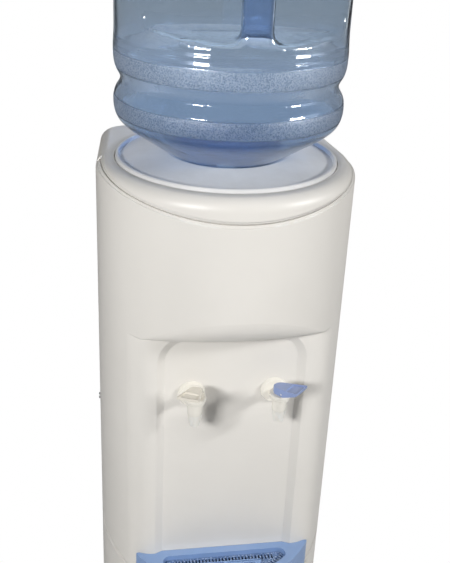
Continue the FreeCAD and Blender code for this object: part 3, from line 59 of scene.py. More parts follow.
def feed(tree, node, values):
    # another node's output is linked, a plain value is set
    for name, value in values.items():
        if isinstance(value, bpy.types.NodeSocket):
            tree.links.new(value, node.inputs[name])
        else:
            node.inputs[name].default_value = value


def put(tree, kind, settings=None, values=None):
    node = tree.nodes.new("ShaderNode" + kind)
    for name, value in (settings or {}).items():
        setattr(node, name, value)
    feed(tree, node, values or {})
    return node


def reckon(tree, operation, *values):
    return put(tree, "Math", {"operation": operation}, dict(enumerate(values))).outputs[0]


def span(tree, value, low, high, newLow=0.0, newHigh=1.0, curve="LINEAR"):
    limits = {"Value": value, "From Min": low, "From Max": high, "To Min": newLow, "To Max": newHigh}
    return put(tree, "MapRange", {"interpolation_type": curve}, limits).outputs[0]


def noise(tree, place, scale, detail, roughness=0.5):
    values = {"Vector": place, "Scale": scale, "Detail": detail, "Roughness": roughness}
    return put(tree, "TexNoise", None, values).outputs["Fac"]


def objectPlace(tree):
    return put(tree, "TexCoord").outputs["Object"]


def distance(tree, vector):
    return put(tree, "VectorMath", {"operation": "LENGTH"}, {0: vector}).outputs["Value"]


def mixShaders(tree, share, first, second):
    return put(tree, "MixShader", None, {0: share, 1: first.outputs[0], 2: second.outputs[0]}).outputs[0]


room = {
    "ambient": 0.07,
    "ambientColor": (0.97, 0.98, 1.0, 1.0),
    "white": (1.0, 1.0, 1.0, 1.0),  # what the camera sees past the object
    "floorSize": 40.0,
    "floorColor": (0.86, 0.86, 0.86, 1.0),
    "floorRoughness": 0.7,
    "shadowedFloor": (0.20, 0.36),  # the floor fades to plain white between these distances
}
lamps = {
    "leftSoftbox": {"place": (-0.92, -1.26, 1.42), "aim": (0.0, 0.0, 0.90), "size": (0.36, 0.24), "watts": 19.5},
    "rightSoftbox": {"place": (1.35, -0.78, 1.46), "aim": (0.0, 0.0, 0.90), "size": (0.40, 0.24), "watts": 16.5},
    "backFill": {"place": (0.3, 1.9, 1.5), "aim": (0.0, 0.0, 0.7), "size": (1.2, 1.2), "watts": 5.0},
}


def seenThrough(tree):
    # one for what the camera sees, straight or through the bottle
    path = put(tree, "LightPath").outputs
    return reckon(tree, "MAXIMUM", path["Is Camera Ray"], path["Is Transmission Ray"])


def buildWorld():
    world = bpy.data.worlds.new("paleRoom")
    bpy.context.scene.world = world
    world.use_nodes = True
    tree = world.node_tree
    tree.nodes.clear()
    seen = seenThrough(tree)
    dim = put(tree, "Background", None, {"Color": room["ambientColor"], "Strength": room["ambient"]})
    white = put(tree, "Background", None, {"Color": room["white"], "Strength": 1.0})
    put(tree, "OutputWorld", None, {"Surface": mixShaders(tree, seen, dim, white)})


def floorMaterial():
    # pale near the object, where it keeps the shadow, and plain white farther out
    material = bpy.data.materials.new("paleFloor")
    material.use_nodes = True
    tree = material.node_tree
    shader = tree.nodes["Principled BSDF"]
    feed(tree, shader, {"Base Color": room["floorColor"], "Roughness": room["floorRoughness"]})
    near, far = room["shadowedFloor"]
    fade = span(tree, distance(tree, objectPlace(tree)), near, far, curve="SMOOTHSTEP")
    share = reckon(tree, "MULTIPLY", fade, seenThrough(tree))
    white = put(tree, "Emission", None, {"Color": room["white"], "Strength": 1.0})
    feed(tree, tree.nodes["Material Output"], {"Surface": mixShaders(tree, share, shader, white)})
    return material


def buildFloor():
    bm = bmesh.new()
    bmesh.ops.create_grid(bm, x_segments=1, y_segments=1, size=room["floorSize"] / 2)
    mesh = bpy.data.meshes.new("floor")
    bm.to_mesh(mesh)
    bm.free()
    mesh.materials.append(floorMaterial())
    floor = bpy.data.objects.new("floor", mesh)
    bpy.context.scene.collection.objects.link(floor)


def hangLamps():
    for name, settings in lamps.items():
        place, aim = Vector(settings["place"]), Vector(settings["aim"])
        data = bpy.data.lights.new(name, "AREA")
        data.shape = "RECTANGLE"
        data.size, data.size_y = settings["size"]
        data.energy = settings["watts"]
        lamp = bpy.data.objects.new(name, data)
        lamp.location = place
        lamp.rotation_euler = (aim - place).to_track_quat("-Z", "Y").to_euler()
        bpy.context.scene.collection.objects.link(lamp)


buildWorld()
buildFloor()
hangLamps()
print("camera, floor and lamps ready")


# shared effects

def newGroup(name, numbers, outputs):
    group = bpy.data.node_groups.new(name, "ShaderNodeTree")
    for label, value in numbers.items():
        socket = group.interface.new_socket(label, in_out="INPUT", socket_type="NodeSocketFloat")
        socket.default_value = value
    for label, kind in outputs.items():
        group.interface.new_socket(label, in_out="OUTPUT", socket_type="NodeSocket" + kind)
    return group, group.nodes.new("NodeGroupInput").outputs, group.nodes.new("NodeGroupOutput")


def useGroup(tree, group, values):
    node = tree.nodes.new("ShaderNodeGroup")
    node.node_tree = group
    feed(tree, node, values)
    return node.outputs


def bumped(tree, height, depth, normal=None):
    values = {"Height": height, "Distance": depth}
    if normal is not None:
        values["Normal"] = normal
    return put(tree, "Bump", None, values).outputs["Normal"]


edgeWearAndHighlight = {
    "corner": (0.995, 0.90),  # cosine of a rounded edge's turn from its face, where the wear and the painted edge highlight start and are full
    "patchScale": 60.0,
    "patches": (0.42, 0.66),
}


def mouldedSkinGroup():
    # fine moulded grain, rounded edges, slow colour drift and lighter rounded edges, which are rub wear and painted
    # edge highlight
    group, given, result = newGroup("mouldedSkin", {"Grain": 900.0, "Depth": 0.00003, "Edge": 0.0006, "Drift": 5.0},
                                    {"Normal": "Vector", "Drift": "Float", "RubbedAndLit": "Float"})
    place = objectPlace(group)
    edge = put(group, "Bevel", {"samples": 6}, {"Radius": given["Edge"]}).outputs["Normal"]
    face = put(group, "NewGeometry").outputs["Normal"]
    facing = put(group, "VectorMath", {"operation": "DOT_PRODUCT"}, {0: edge, 1: face}).outputs["Value"]
    corner = span(group, facing, *edgeWearAndHighlight["corner"])
    patch = span(group, noise(group, place, edgeWearAndHighlight["patchScale"], detail=3.0), *edgeWearAndHighlight["patches"])
    grain = noise(group, place, given["Grain"], detail=2.0, roughness=0.6)
    feed(group, result, {
        "Normal": bumped(group, grain, given["Depth"], edge),
        "Drift": noise(group, place, given["Drift"], detail=4.0, roughness=0.55),
        "RubbedAndLit": reckon(group, "MULTIPLY", corner, patch),
    })
    return group


dustAndTopShade = {
    "color": (0.52, 0.50, 0.47, 1),
    "scale": 30.0,
    "upward": (0.55, 0.98),  # how far up a face looks, where the dust and the painted shade of upward faces start and are full
    "clouds": (0.3, 0.75),
}


def dustAndTopShadeGroup():
    # dust that lies on upward faces, in soft patches; it also paints upward faces darker as shade
    group, given, result = newGroup("dustAndTopShadeNodes", {"Amount": 0.3, "Scale": 25.0}, {"DustAndShade": "Float"})
    face = put(group, "NewGeometry").outputs["Normal"]
    up = span(group, put(group, "SeparateXYZ", None, {0: face}).outputs["Z"], *dustAndTopShade["upward"])
    cloud = noise(group, objectPlace(group), given["Scale"], detail=6.0, roughness=0.65)
    share = reckon(group, "MULTIPLY", up, span(group, cloud, *dustAndTopShade["clouds"]))
    feed(group, result, {"DustAndShade": reckon(group, "MULTIPLY", share, given["Amount"])})
    return group


brushing = {
    "stretch": (0.04, 0.04, 1.0),
    "smudgeScale": 14.0,
}


def brushedMetalGroup():
    # fine lines round the upright axis and slow smudges
    group, given, result = newGroup("brushedMetal", {"Lines": 900.0, "Depth": 0.00002},
                                    {"Normal": "Vector", "Smudge": "Float"})
    place = objectPlace(group)
    stretched = put(group, "Mapping", None, {"Vector": place, "Scale": brushing["stretch"]}).outputs[0]
    lines = noise(group, stretched, given["Lines"], detail=2.0)
    feed(group, result, {
        "Normal": bumped(group, lines, given["Depth"]),
        "Smudge": noise(group, place, brushing["smudgeScale"], detail=5.0),
    })
    return group


mouldedSkin = mouldedSkinGroup()
dustAndTopShadeNodes = dustAndTopShadeGroup()
brushedMetal = brushedMetalGroup()


# materials

def newMaterial(name):
    material = bpy.data.materials.new(name)
    material.use_nodes = True
    return material, material.node_tree, material.node_tree.nodes["Principled BSDF"]


def mixColor(tree, share, first, second):
    # 6 and 7 are the colour sockets of a Mix node, and 2 is its colour output
    return put(tree, "Mix", {"data_type": "RGBA"}, {0: share, 6: first, 7: second}).outputs[2]


def skinOf(tree, look, driftScale):
    return useGroup(tree, mouldedSkin, {
        "Grain": look["grain"], "Depth": look["depth"], "Edge": look["edge"], "Drift": driftScale,
    })


mouldings = {  # roughness is lowest and highest; depth and edge are in metres
    "creamShellPlastic": {
        "color": (0.82, 0.792, 0.742, 1), "drifted": (0.79, 0.762, 0.712, 1), "rubbedAndLit": (0.85, 0.84, 0.81, 1),
        "roughness": (0.34, 0.44), "grain": 750.0, "depth": 0.00002, "edge": 0.0022, "dustAndTopShade": 0.15,
    },
    "whiteGuardPlastic": {
        "color": (0.75, 0.747, 0.745, 1), "drifted": (0.70, 0.698, 0.697, 1), "rubbedAndLit": (0.88, 0.88, 0.88, 1),
        "roughness": (0.34, 0.46), "grain": 900.0, "depth": 0.00003, "edge": 0.0009, "dustAndTopShade": 0.35,
    },
    "paleWhiteCapPlastic": {
        "color": (0.72, 0.76, 0.82, 1), "drifted": (0.66, 0.70, 0.76, 1), "rubbedAndLit": (0.82, 0.84, 0.88, 1),
        "roughness": (0.36, 0.5), "grain": 1400.0, "depth": 0.00002, "edge": 0.0003, "dustAndTopShade": 0.0,
    },
    "blueTrayPlastic": {
        "color": (0.25, 0.385, 0.66, 1), "drifted": (0.22, 0.345, 0.60, 1), "rubbedAndLit": (0.42, 0.56, 0.80, 1),
        "roughness": (0.30, 0.45), "grain": 1300.0, "depth": 0.00004, "edge": 0.0010, "dustAndTopShade": 0.12,
    },
    "whiteTapPlastic": {
        "color": (0.86, 0.83, 0.76, 1), "drifted": (0.80, 0.77, 0.69, 1), "rubbedAndLit": (0.93, 0.92, 0.89, 1),
        "roughness": (0.20, 0.32), "grain": 1500.0, "depth": 0.00001, "edge": 0.0005, "dustAndTopShade": 0.05,
    },
    "creamLeverPlastic": {
        "color": (0.84, 0.80, 0.71, 1), "drifted": (0.79, 0.74, 0.64, 1), "rubbedAndLit": (0.93, 0.91, 0.86, 1),
        "roughness": (0.22, 0.36), "grain": 1500.0, "depth": 0.00001, "edge": 0.0004, "dustAndTopShade": 0.08,
    },
    "blueLeverPlastic": {
        "color": (0.29, 0.37, 0.63, 1), "drifted": (0.25, 0.33, 0.58, 1), "rubbedAndLit": (0.50, 0.58, 0.80, 1),
        "roughness": (0.24, 0.38), "grain": 1500.0, "depth": 0.00001, "edge": 0.0004, "dustAndTopShade": 0.05,
    },
    "blackMouldedPlastic": {
        "color": (0.022, 0.022, 0.024, 1), "drifted": (0.03, 0.03, 0.032, 1), "rubbedAndLit": (0.10, 0.10, 0.10, 1),
        "roughness": (0.38, 0.55), "grain": 1200.0, "depth": 0.00004, "edge": 0.0004, "dustAndTopShade": 0.1,
    },
    "greySheetPaint": {
        "color": (0.36, 0.36, 0.355, 1), "drifted": (0.33, 0.33, 0.325, 1), "rubbedAndLit": (0.50, 0.50, 0.49, 1),
        "roughness": (0.42, 0.55), "grain": 520.0, "depth": 0.00010, "edge": 0.0006, "dustAndTopShade": 0.1,
    },
    "blackEnamel": {
        "color": (0.018, 0.018, 0.02, 1), "drifted": (0.026, 0.025, 0.026, 1), "rubbedAndLit": (0.16, 0.14, 0.12, 1),
        "roughness": (0.24, 0.40), "grain": 420.0, "depth": 0.00008, "edge": 0.0005, "dustAndTopShade": 0.25,
    },
    "darkRubber": {
        "color": (0.028, 0.028, 0.028, 1), "drifted": (0.04, 0.039, 0.038, 1), "rubbedAndLit": (0.09, 0.09, 0.09, 1),
        "roughness": (0.65, 0.85), "grain": 1600.0, "depth": 0.00006, "edge": 0.0008, "dustAndTopShade": 0.2,
    },
    "milkySilicone": {
        "color": (0.66, 0.66, 0.63, 1), "drifted": (0.60, 0.60, 0.57, 1), "rubbedAndLit": (0.75, 0.75, 0.73, 1),
        "roughness": (0.35, 0.5), "grain": 700.0, "depth": 0.00003, "edge": 0.0005, "dustAndTopShade": 0.0,
    },
}
mouldingDrift = {
    "scale": 6.0,
    "colorLimits": (0.38, 0.66),
    "roughLimits": (0.3, 0.7),
}
guardGapShade = {  # painted shade on the shell in the ring round the guard, where the gap under the guard's rim lies in shade
    "finish": "creamShellPlastic",
    "radii": (0.1320, 0.1355, 0.1450),  # where it starts, is full and ends
    "lowest": 0.962,
    "fade": 0.004,
    "amount": 0.55,
    "color": (0.30, 0.29, 0.28, 1),
}


def guardGapShadeShare(tree):
    place = objectPlace(tree)
    level = put(tree, "VectorMath", {"operation": "MULTIPLY"}, {0: place, 1: (1, 1, 0)}).outputs[0]
    radius = distance(tree, level)
    near, full, end = guardGapShade["radii"]
    ring = reckon(tree, "MULTIPLY", span(tree, radius, near, full, 0.0, guardGapShade["amount"]),
                  span(tree, radius, full, end, 1.0, 0.0))
    height = put(tree, "SeparateXYZ", None, {0: place}).outputs["Z"]
    above = span(tree, height, guardGapShade["lowest"], guardGapShade["lowest"] + guardGapShade["fade"])
    return reckon(tree, "MULTIPLY", ring, above)


def mouldedMaterial(name):
    look = mouldings[name]
    material, tree, shader = newMaterial(name)
    skin = skinOf(tree, look, mouldingDrift["scale"])
    share = span(tree, skin["Drift"], *mouldingDrift["colorLimits"])
    color = mixColor(tree, share, look["color"], look["drifted"])
    # lighter rounded edges: rub wear and painted edge highlight
    color = mixColor(tree, skin["RubbedAndLit"], color, look["rubbedAndLit"])
    # dust on upward faces, which also paints shade on them
    if look["dustAndTopShade"] > 0:
        dustAndShade = useGroup(tree, dustAndTopShadeNodes, {"Amount": look["dustAndTopShade"], "Scale": dustAndTopShade["scale"]})
        color = mixColor(tree, dustAndShade["DustAndShade"], color, dustAndTopShade["color"])
    if name == guardGapShade["finish"]:
        # painted shade in the ring round the guard
        color = mixColor(tree, guardGapShadeShare(tree), color, guardGapShade["color"])
    feed(tree, shader, {
        "Base Color": color,
        "Roughness": span(tree, skin["Drift"], *mouldingDrift["roughLimits"], *look["roughness"]),
        "Normal": skin["Normal"],
    })
    return material


metals = {  # roughness is lowest and highest; lines is their fineness
    "satinStainless": {
        "color": (0.62, 0.63, 0.64, 1), "smudged": (0.50, 0.51, 0.52, 1),
        "roughness": (0.22, 0.36), "lines": 700.0, "depth": 0.00002,
    },
    "zincPlatedSteel": {
        "color": (0.55, 0.56, 0.56, 1), "smudged": (0.44, 0.45, 0.44, 1),
        "roughness": (0.30, 0.48), "lines": 220.0, "depth": 0.00004,
    },
    "drawnCopper": {
        "color": (0.72, 0.36, 0.22, 1), "smudged": (0.45, 0.20, 0.12, 1),
        "roughness": (0.22, 0.42), "lines": 500.0, "depth": 0.00002,
    },
}
metalSmudges = {
    "colorLimits": (0.42, 0.68),
    "roughLimits": (0.3, 0.7),
}


def metalMaterial(name):
    look = metals[name]
    material, tree, shader = newMaterial(name)
    skin = useGroup(tree, brushedMetal, {"Lines": look["lines"], "Depth": look["depth"]})
    share = span(tree, skin["Smudge"], *metalSmudges["colorLimits"])
    feed(tree, shader, {
        "Base Color": mixColor(tree, share, look["color"], look["smudged"]),
        "Roughness": span(tree, skin["Smudge"], *metalSmudges["roughLimits"], *look["roughness"]),
        "Normal": skin["Normal"],
        "Metallic": 1.0,
    })
    return material


spoutLook = {
    "color": (0.86, 0.84, 0.78, 1),
    "drifted": (0.80, 0.78, 0.72, 1),
    "driftScale": 20.0,
    "driftLimits": (0.4, 0.65),
    "grain": 1500.0,
    "depth": 0.00001,
    "edge": 0.0004,
    "roughness": 0.3,
    "glow": 0.35,
    "glowReach": (0.004, 0.0035, 0.003),
}


def spoutMaterial():
    # milky moulding that lets some light through
    look = spoutLook
    material, tree, shader = newMaterial("milkySpoutPlastic")
    skin = skinOf(tree, look, look["driftScale"])
    share = span(tree, skin["Drift"], *look["driftLimits"])
    feed(tree, shader, {
        "Base Color": mixColor(tree, share, look["color"], look["drifted"]),
        "Normal": skin["Normal"],
        "Roughness": look["roughness"],
        "Subsurface Weight": look["glow"],
        "Subsurface Radius": look["glowReach"],
        "Subsurface Scale": 1.0,
    })
    return material


grilleLook = {
    "top": (0.25, 0.385, 0.66, 1),
    "low": (0.10, 0.17, 0.33, 1),
    "rubbedAndLit": (0.42, 0.56, 0.80, 1),
    "topHeight": 0.4635,  # the raised middle of the grille is above this
    "topFade": 0.0015,
    "dropSize": 420.0,
    "dropColor": (0.40, 0.50, 0.68, 1),
    "dropLimits": (0.52, 0.60),
    "dropShare": 0.9,
    "wetLimits": (0.45, 0.6),
    "roughness": (0.42, 0.16),  # between the drops and in them
    "grain": 1300.0,
    "depth": 0.00004,
    "edge": 0.0006,
    "driftScale": 9.0,
}


def grilleMaterial():
    # pale raised middle; the slotted band round it is painted darker as shade and speckled with drops
    look = grilleLook
    material, tree, shader = newMaterial("wetGrillePlastic")
    skin = skinOf(tree, look, look["driftScale"])
    place = objectPlace(tree)
    height = put(tree, "SeparateXYZ", None, {0: place}).outputs["Z"]
    drops = noise(tree, place, look["dropSize"], detail=2.0)
    dropShare = span(tree, drops, *look["dropLimits"], 0.0, look["dropShare"])
    # painted shade: the slotted band is a darker copy of the grille's blue
    band = mixColor(tree, dropShare, look["low"], look["dropColor"])
    raised = span(tree, height, look["topHeight"], look["topHeight"] + look["topFade"])
    color = mixColor(tree, raised, band, look["top"])
    feed(tree, shader, {
        # lighter rounded edges: rub wear and painted edge highlight
        "Base Color": mixColor(tree, skin["RubbedAndLit"], color, look["rubbedAndLit"]),
        "Roughness": span(tree, drops, *look["wetLimits"], *look["roughness"]),
        "Normal": skin["Normal"],
    })
    return material


foamLook = {
    "bead": (0.86, 0.86, 0.84, 1),
    "joint": (0.55, 0.55, 0.53, 1),
    "jointWidth": 0.12,
    "beadScale": 260.0,
    "depth": 0.0004,
    "roughness": 0.85,
}


def foamMaterial():
    # expanded beads with darker joints between them
    look = foamLook
    material, tree, shader = newMaterial("beadFoam")
    beads = put(tree, "TexVoronoi", {"feature": "DISTANCE_TO_EDGE"},
                {"Vector": objectPlace(tree), "Scale": look["beadScale"]}).outputs["Distance"]
    inBead = span(tree, beads, 0.0, look["jointWidth"])
    feed(tree, shader, {
        "Base Color": mixColor(tree, inBead, look["joint"], look["bead"]),
        "Normal": bumped(tree, inBead, look["depth"]),
        "Roughness": look["roughness"],
    })
    return material


bottleLook = {
    "tint": (0.45, 0.51, 0.575, 1),
    "driftTint": (0.43, 0.50, 0.57, 1),
    "driftScale": 9.0,
    "driftLimits": (0.35, 0.65),
    "ribLitTint": (0.47, 0.55, 0.655, 1),
    "ribTop": (1.108, 1.128),  # the ribs' painted lighter tint fades out between these heights
    "shoulderShadeTint": (0.38, 0.49, 0.64, 1),
    "shoulderTop": (1.020, 1.034),
    "roughness": 0.065,
    "stippleRough": 0.30,
    "bands": ((1.031, 1.053), (1.082, 1.105)),  # heights of the stippled rings
    "bandFade": 0.002,
    "ridges": ((1.0475, 1.0525, 0.0005), (1.1065, 1.1125, 0.0007), (1.1155, 1.1205, 0.0007)),  # from, to, drop
    "stippleSize": 640.0,
    "stippleDepth": 0.0007,
    "stippleGlint": (0.92, 0.94, 0.97, 1),
    "glintLimits": (0.49, 0.58),
    "glintShare": 0.8,
    "stippleShadeSpeck": (0.24, 0.30, 0.38, 1),
    "shadeSpeckLimits": (0.40, 0.46),
    "waveScale": 28.0,
    "waveStretch": (1, 1, 0.35),
    "waveDepth": 0.0009,
    "barZone": (0.019, -0.108, -0.104),  # half width, and between which places it ends behind
    "barFade": 0.002,
    "barFoot": (1.132, 1.142),  # the bar's painted light tint starts between these heights
    "barLitTint": (0.62, 0.73, 0.90, 1),
    "bending": 1.5,
    "shadow": (0.56, 0.62, 0.74, 1),  # light that the whole bottle lets through
}


def stippledBand(tree, height):
    # one on the two stippled ribs and nought elsewhere
    band, fade = 0.0, bottleLook["bandFade"]
    for low, high in bottleLook["bands"]:
        rise = span(tree, height, low, low + fade)
        fall = span(tree, height, high - fade, high, 1.0, 0.0)
        band = reckon(tree, "MAXIMUM", band, reckon(tree, "MULTIPLY", rise, fall))
    return band


def bottleNormal(tree, place, height, dots):
    # slow waves, then the fine steps, then the stipple
    look = bottleLook
    stretched = put(tree, "Mapping", None, {"Vector": place, "Scale": look["waveStretch"]}).outputs[0]
    waved = bumped(tree, noise(tree, stretched, look["waveScale"], detail=2.0), look["waveDepth"])
    steps = 0.0
    for low, high, drop in look["ridges"]:
        steps = reckon(tree, "ADD", steps, span(tree, height, low, high, drop, 0.0, "SMOOTHSTEP"))
    return bumped(tree, dots, look["stippleDepth"], bumped(tree, steps, 1.0, waved))


def gripBarShare(tree, spot, height):
    # one on the upright bar in front of the hollow
    halfWidth, front, back = bottleLook["barZone"]
    beside = span(tree, reckon(tree, "ABSOLUTE", spot["X"]), halfWidth, halfWidth + bottleLook["barFade"], 1.0, 0.0)
    inBar = reckon(tree, "MULTIPLY", beside, span(tree, spot["Y"], front, back, 1.0, 0.0))
    return reckon(tree, "MULTIPLY", inBar, span(tree, height, *bottleLook["barFoot"]))


def bottleMaterial():
    # tinted clear plastic, stippled on its two ribs with painted glints and painted shade specks, with faint flow
    # waves
    look = bottleLook
    material, tree, shader = newMaterial("tintedBottlePlastic")
    place = objectPlace(tree)
    spot = put(tree, "SeparateXYZ", None, {0: place}).outputs
    height = spot["Z"]
    band = stippledBand(tree, height)
    stipple = noise(tree, place, look["stippleSize"], detail=2.0, roughness=0.6)
    dots = reckon(tree, "MULTIPLY", stipple, band)
    drift = span(tree, noise(tree, place, look["driftScale"], detail=3.0), *look["driftLimits"])
    color = mixColor(tree, drift, look["tint"], look["driftTint"])
    # tint changed by height: painted light on the ribs and painted shade below the shoulder
    color = mixColor(tree, span(tree, height, *look["ribTop"], 1.0, 0.0), color, look["ribLitTint"])
    color = mixColor(tree, span(tree, height, *look["shoulderTop"], 1.0, 0.0), color, look["shoulderShadeTint"])
    # painted light: a paler tint on the grip bar
    color = mixColor(tree, gripBarShare(tree, spot, height), color, look["barLitTint"])
    # painted glints: pale flecks in the stipple
    glint = span(tree, dots, *look["glintLimits"], 0.0, look["glintShare"])
    color = mixColor(tree, glint, color, look["stippleGlint"])
    # painted shade: dark specks in the stipple
    shadeSpeck = reckon(tree, "MULTIPLY", span(tree, stipple, *look["shadeSpeckLimits"], 1.0, 0.0), band)
    feed(tree, shader, {
        "Base Color": mixColor(tree, shadeSpeck, color, look["stippleShadeSpeck"]),
        "Roughness": span(tree, band, 0.0, 1.0, look["roughness"], look["stippleRough"]),
        "Normal": bottleNormal(tree, place, height, dots),
        "Transmission Weight": 1.0,
        "IOR": look["bending"],
    })
    # shadow rays go straight through, tinted
    shadowRay = put(tree, "LightPath").outputs["Is Shadow Ray"]
    through = put(tree, "BsdfTransparent", None, {"Color": look["shadow"]})
    feed(tree, tree.nodes["Material Output"], {"Surface": mixShaders(tree, shadowRay, shader, through)})
    return material


finishes = {name: mouldedMaterial(name) for name in mouldings}
finishes.update({name: metalMaterial(name) for name in metals})
finishes["milkySpoutPlastic"] = spoutMaterial()
finishes["beadFoam"] = foamMaterial()
finishes["wetGrillePlastic"] = grilleMaterial()
finishes["tintedBottlePlastic"] = bottleMaterial()
print("materials ready:", len(finishes))

dressing = {
    "creamShellPlastic": ["front_shell", "base_shell", "top_cover"],
    "whiteGuardPlastic": ["bottle_guard", "feed_spindle", "tank_baffle", "riser_tube"],
    "paleWhiteCapPlastic": ["bottle_cap", "cap_plug"],
    "blueTrayPlastic": ["drip_tray"],
    "wetGrillePlastic": ["drip_grille"],
    "whiteTapPlastic": ["left_tap_body", "right_tap_body", "left_tap_bonnet", "right_tap_bonnet", "left_lever_pin",
                        "right_lever_pin", "left_valve_stem", "right_valve_stem", "tap_nuts"],
    "creamLeverPlastic": ["left_tap_lever"],
    "blueLeverPlastic": ["right_tap_lever"],
    "milkySpoutPlastic": ["left_tap_spout", "right_tap_spout"],
    "blackMouldedPlastic": ["thermostat", "thermostat_knob", "cord_gland", "relay_cover"],
    "greySheetPaint": ["rear_cabinet"],
    "blackEnamel": ["compressor", "condenser_tube", "condenser_wires"],
    "darkRubber": ["feet", "compressor_mounts"],
    "milkySilicone": ["tank_seal", "tap_washers", "left_hose", "right_hose", "left_seat_cup", "right_seat_cup"],
    "satinStainless": ["water_tank"],
    "zincPlatedSteel": ["tank_shelf", "base_plate", "foot_screws", "mount_bolts", "condenser_brackets",
                        "side_screws", "rear_screws", "left_valve_spring", "right_valve_spring"],
    "drawnCopper": ["evaporator_coil", "filter_drier", "liquid_line", "discharge_line", "suction_line",
                    "capillary_line"],
    "beadFoam": ["foam_front", "foam_rear"],
    "tintedBottlePlastic": ["bottle"],
}
for finish, names in dressing.items():
    for name in names:
        mesh = cadNodes[name].data
        mesh.materials.clear()
        mesh.materials.append(finishes[finish])
print("carried-over pieces dressed:", sum(len(names) for names in dressing.values()))


# the bottle, made new because the photo's bottle is clear, ribbed and hollowed at the front

def newPiece(name, bm, material):
    mesh = bpy.data.meshes.new(name)
    bm.to_mesh(mesh)
    bm.free()
    for face in mesh.polygons:
        face.use_smooth = True
    mesh.materials.append(material)
    piece = bpy.data.objects.new(name, mesh)
    bpy.context.scene.collection.objects.link(piece)
    return piece


def addModifier(piece, kind, **settings):
    modifier = piece.modifiers.new(kind.lower(), kind)
    for name, value in settings.items():
        setattr(modifier, name, value)


def settle(piece):
    # the mesh with its modifiers applied takes the old mesh's place
    bpy.context.view_layer.update()
    depsgraph = bpy.context.evaluated_depsgraph_get()
    mesh = bpy.data.meshes.new_from_object(piece.evaluated_get(depsgraph))
    piece.modifiers.clear()
    old = piece.data
    piece.data = mesh
    bpy.data.meshes.remove(old)
    mesh.name = piece.name
    for face in mesh.polygons:
        face.use_smooth = True


def newBlock(width, depth, height):
    bm = bmesh.new()
    bmesh.ops.create_cube(bm, size=1.0)
    bmesh.ops.scale(bm, vec=(width, depth, height), verts=bm.verts)
    return bm


def roundEdges(bm, edges, offset, segments):
    bmesh.ops.bevel(bm, geom=edges, offset=offset, affect="EDGES", segments=segments, profile=0.5, material=-1)


def reach(edge, axis):
    return abs(edge.verts[0].co[axis] - edge.verts[1].co[axis])


bottleShape = {
    "profile": (  # radius and height, neck first
        (0.0, 0.9125), (0.0270, 0.9125), (0.0270, 0.9520), (0.0300, 0.9575), (0.0350, 0.9612), (0.1180, 1.0155),
        (0.1250, 1.0210), (0.1300, 1.0270), (0.1325, 1.0340), (0.1334, 1.0410), (0.1335, 1.0480), (0.1325, 1.0545),
        (0.1300, 1.0590), (0.1262, 1.0635), (0.1246, 1.0680), (0.1252, 1.0725), (0.1278, 1.0770), (0.1308, 1.0815),
        (0.1324, 1.0870), (0.1333, 1.0950), (0.1334, 1.1080), (0.1325, 1.1190), (0.1322, 1.1290), (0.1322, 1.2850),
        (0.1325, 1.2920), (0.1285, 1.2970), (0.1278, 1.3000),
        (0.1285, 1.3030), (0.1325, 1.3080), (0.1347, 1.3120), (0.1347, 1.3380), (0.1325, 1.3420), (0.1285, 1.3470),
        (0.1278, 1.3500), (0.1285, 1.3530), (0.1325, 1.3580), (0.1347, 1.3620), (0.1344, 1.3700), (0.1300, 1.3795),
        (0.1220, 1.3840), (0.1150, 1.3845), (0.0950, 1.3735), (0.0, 1.3725),
    ),
    "steps": 144,
    "pocketHalf": 0.117,
    "pocketLow": 1.138,  # at the hollow's back wall
    "pocketHigh": 1.277,
    "pocketDepth": 0.12,  # of the tool that cuts it, which reaches out past the bottle
    "pocketSlope": 0.15,  # fall of its floor and rise of its ceiling towards the front
    "pocketSpread": 1.05,  # its width at the tool's front end, against that at the back wall
    "pocketWall": -0.073,
    "pocketCorner": 0.024,
    "pocketFillet": 0.007,
    "barHalf": 0.0168,
    "barFront": -0.1325,
    "barBack": -0.1085,
    "barRound": 0.009,
    "barExtra": 0.03,  # how much taller the bar is than the hollow's back wall
    "barRings": 82,
    "barFlare": 0.013,  # how far and how high the bar widens at its two ends
    "barFlareStart": 0.004,  # how far inside the hollow's ends the widening starts
    "turn": 2.5,  # degrees that the hollow is turned to the right
    "voxel": 0.0038,
    "smoothing": (0.5, 6),  # strength and rounds
    "wall": 0.0016,
    "joined": 0.00001,
}


def turnIntoPlace(bm, y, height):
    # to its place on the upright bottle, then turned with the hollow
    turn = Matrix.Rotation(math.radians(bottleShape["turn"]), 3, "Z")
    bmesh.ops.translate(bm, verts=bm.verts, vec=(0, y, height))
    bmesh.ops.rotate(bm, cent=(0, 0, 0), matrix=turn, verts=bm.verts)
    bmesh.ops.recalc_face_normals(bm, faces=bm.faces)


def spinBottle(shape):
    bm = bmesh.new()
    corners = [bm.verts.new((radius, 0, height)) for radius, height in shape["profile"]]
    outline = [bm.edges.new(pair) for pair in zip(corners, corners[1:])]
    bmesh.ops.spin(bm, geom=corners + outline, axis=(0, 0, 1), cent=(0, 0, 0), angle=2 * math.pi,
                   steps=shape["steps"], use_merge=True)
    bmesh.ops.remove_doubles(bm, verts=bm.verts, dist=shape["joined"])
    bmesh.ops.recalc_face_normals(bm, faces=bm.faces)
    return bm


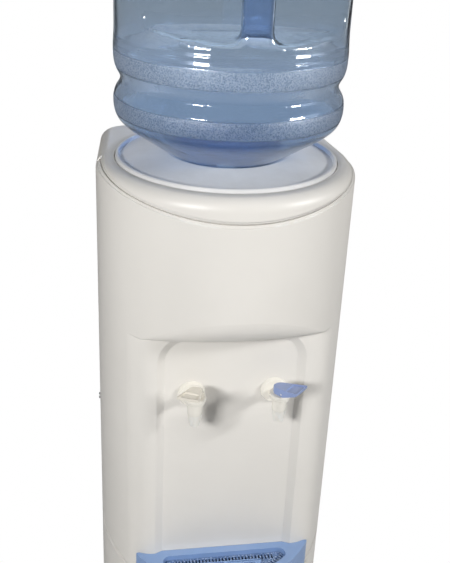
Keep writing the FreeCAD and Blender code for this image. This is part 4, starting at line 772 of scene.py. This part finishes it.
def hollowTool(shape):
    # hollow across the front, rounded at its corners and opening outwards
    high, depth, wallY = shape["pocketHigh"] - shape["pocketLow"], shape["pocketDepth"], shape["pocketWall"]
    bm = newBlock(2 * shape["pocketHalf"], depth, high)
    bmesh.ops.translate(bm, verts=bm.verts, vec=(0, wallY - depth / 2, 0))
    front = [vert for vert in bm.verts if vert.co.y < wallY - depth / 2]
    opening = 1 + 2 * depth * shape["pocketSlope"] / high
    bmesh.ops.scale(bm, vec=(shape["pocketSpread"], 1, opening), verts=front)
    deep = [edge for edge in bm.edges if reach(edge, 1) > depth / 2]
    roundEdges(bm, deep, shape["pocketCorner"], 8)
    level = 0.0001  # edges that run less than this from front to back are level
    atWall = [edge for edge in bm.edges
              if reach(edge, 1) < level and max(vert.co.y for vert in edge.verts) - wallY > -level]
    roundEdges(bm, atWall, shape["pocketFillet"], 3)
    turnIntoPlace(bm, 0, (shape["pocketLow"] + shape["pocketHigh"]) / 2)
    return bm


def gripBar(shape):
    # upright bar over the hollow, flared where it runs into the floor and the ceiling
    high = shape["pocketHigh"] - shape["pocketLow"]
    tall = high + shape["barExtra"]
    bm = newBlock(2 * shape["barHalf"], shape["barBack"] - shape["barFront"], tall)
    upright = [edge for edge in bm.edges if reach(edge, 2) > tall / 2]
    roundEdges(bm, upright, shape["barRound"], 6)
    rings = shape["barRings"]
    for ring in range(1 - rings // 2, rings // 2):
        everything = bm.verts[:] + bm.edges[:] + bm.faces[:]
        bmesh.ops.bisect_plane(bm, geom=everything, plane_co=(0, 0, ring * tall / rings), plane_no=(0, 0, 1))
    flare = shape["barFlare"]
    for vert in bm.verts:
        share = max(0.0, abs(vert.co.z) - high / 2 + shape["barFlareStart"]) / flare
        spread = flare * (1 - math.sqrt(1 - min(share, 1.0) ** 2))
        vert.co.x += math.copysign(spread, vert.co.x)
        vert.co.y += spread if vert.co.y > 0 else 0.0
    middle = (shape["pocketLow"] + shape["pocketHigh"]) / 2
    turnIntoPlace(bm, (shape["barFront"] + shape["barBack"]) / 2, middle)
    return bm


def buildBottle():
    shape = bottleShape
    material = finishes["tintedBottlePlastic"]
    bottle = newPiece("water_bottle", spinBottle(shape), material)
    pocket = newPiece("pocketCutter", hollowTool(shape), material)
    bar = newPiece("gripBar", gripBar(shape), material)
    strength, rounds = shape["smoothing"]
    addModifier(bottle, "BOOLEAN", operation="DIFFERENCE", object=pocket, solver="EXACT")
    addModifier(bottle, "BOOLEAN", operation="UNION", object=bar, solver="EXACT")
    addModifier(bottle, "REMESH", mode="VOXEL", voxel_size=shape["voxel"], adaptivity=0.0, use_smooth_shade=True)
    addModifier(bottle, "SMOOTH", factor=strength, iterations=rounds)
    addModifier(bottle, "SOLIDIFY", thickness=shape["wall"], offset=-1, use_even_offset=False)
    settle(bottle)
    for helper in (pocket, bar):
        bpy.data.objects.remove(helper)
    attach(bottle, "bottle")
    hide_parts("bottle")
    print("bottle moulded:", len(bottle.data.polygons), "faces")


buildBottle()
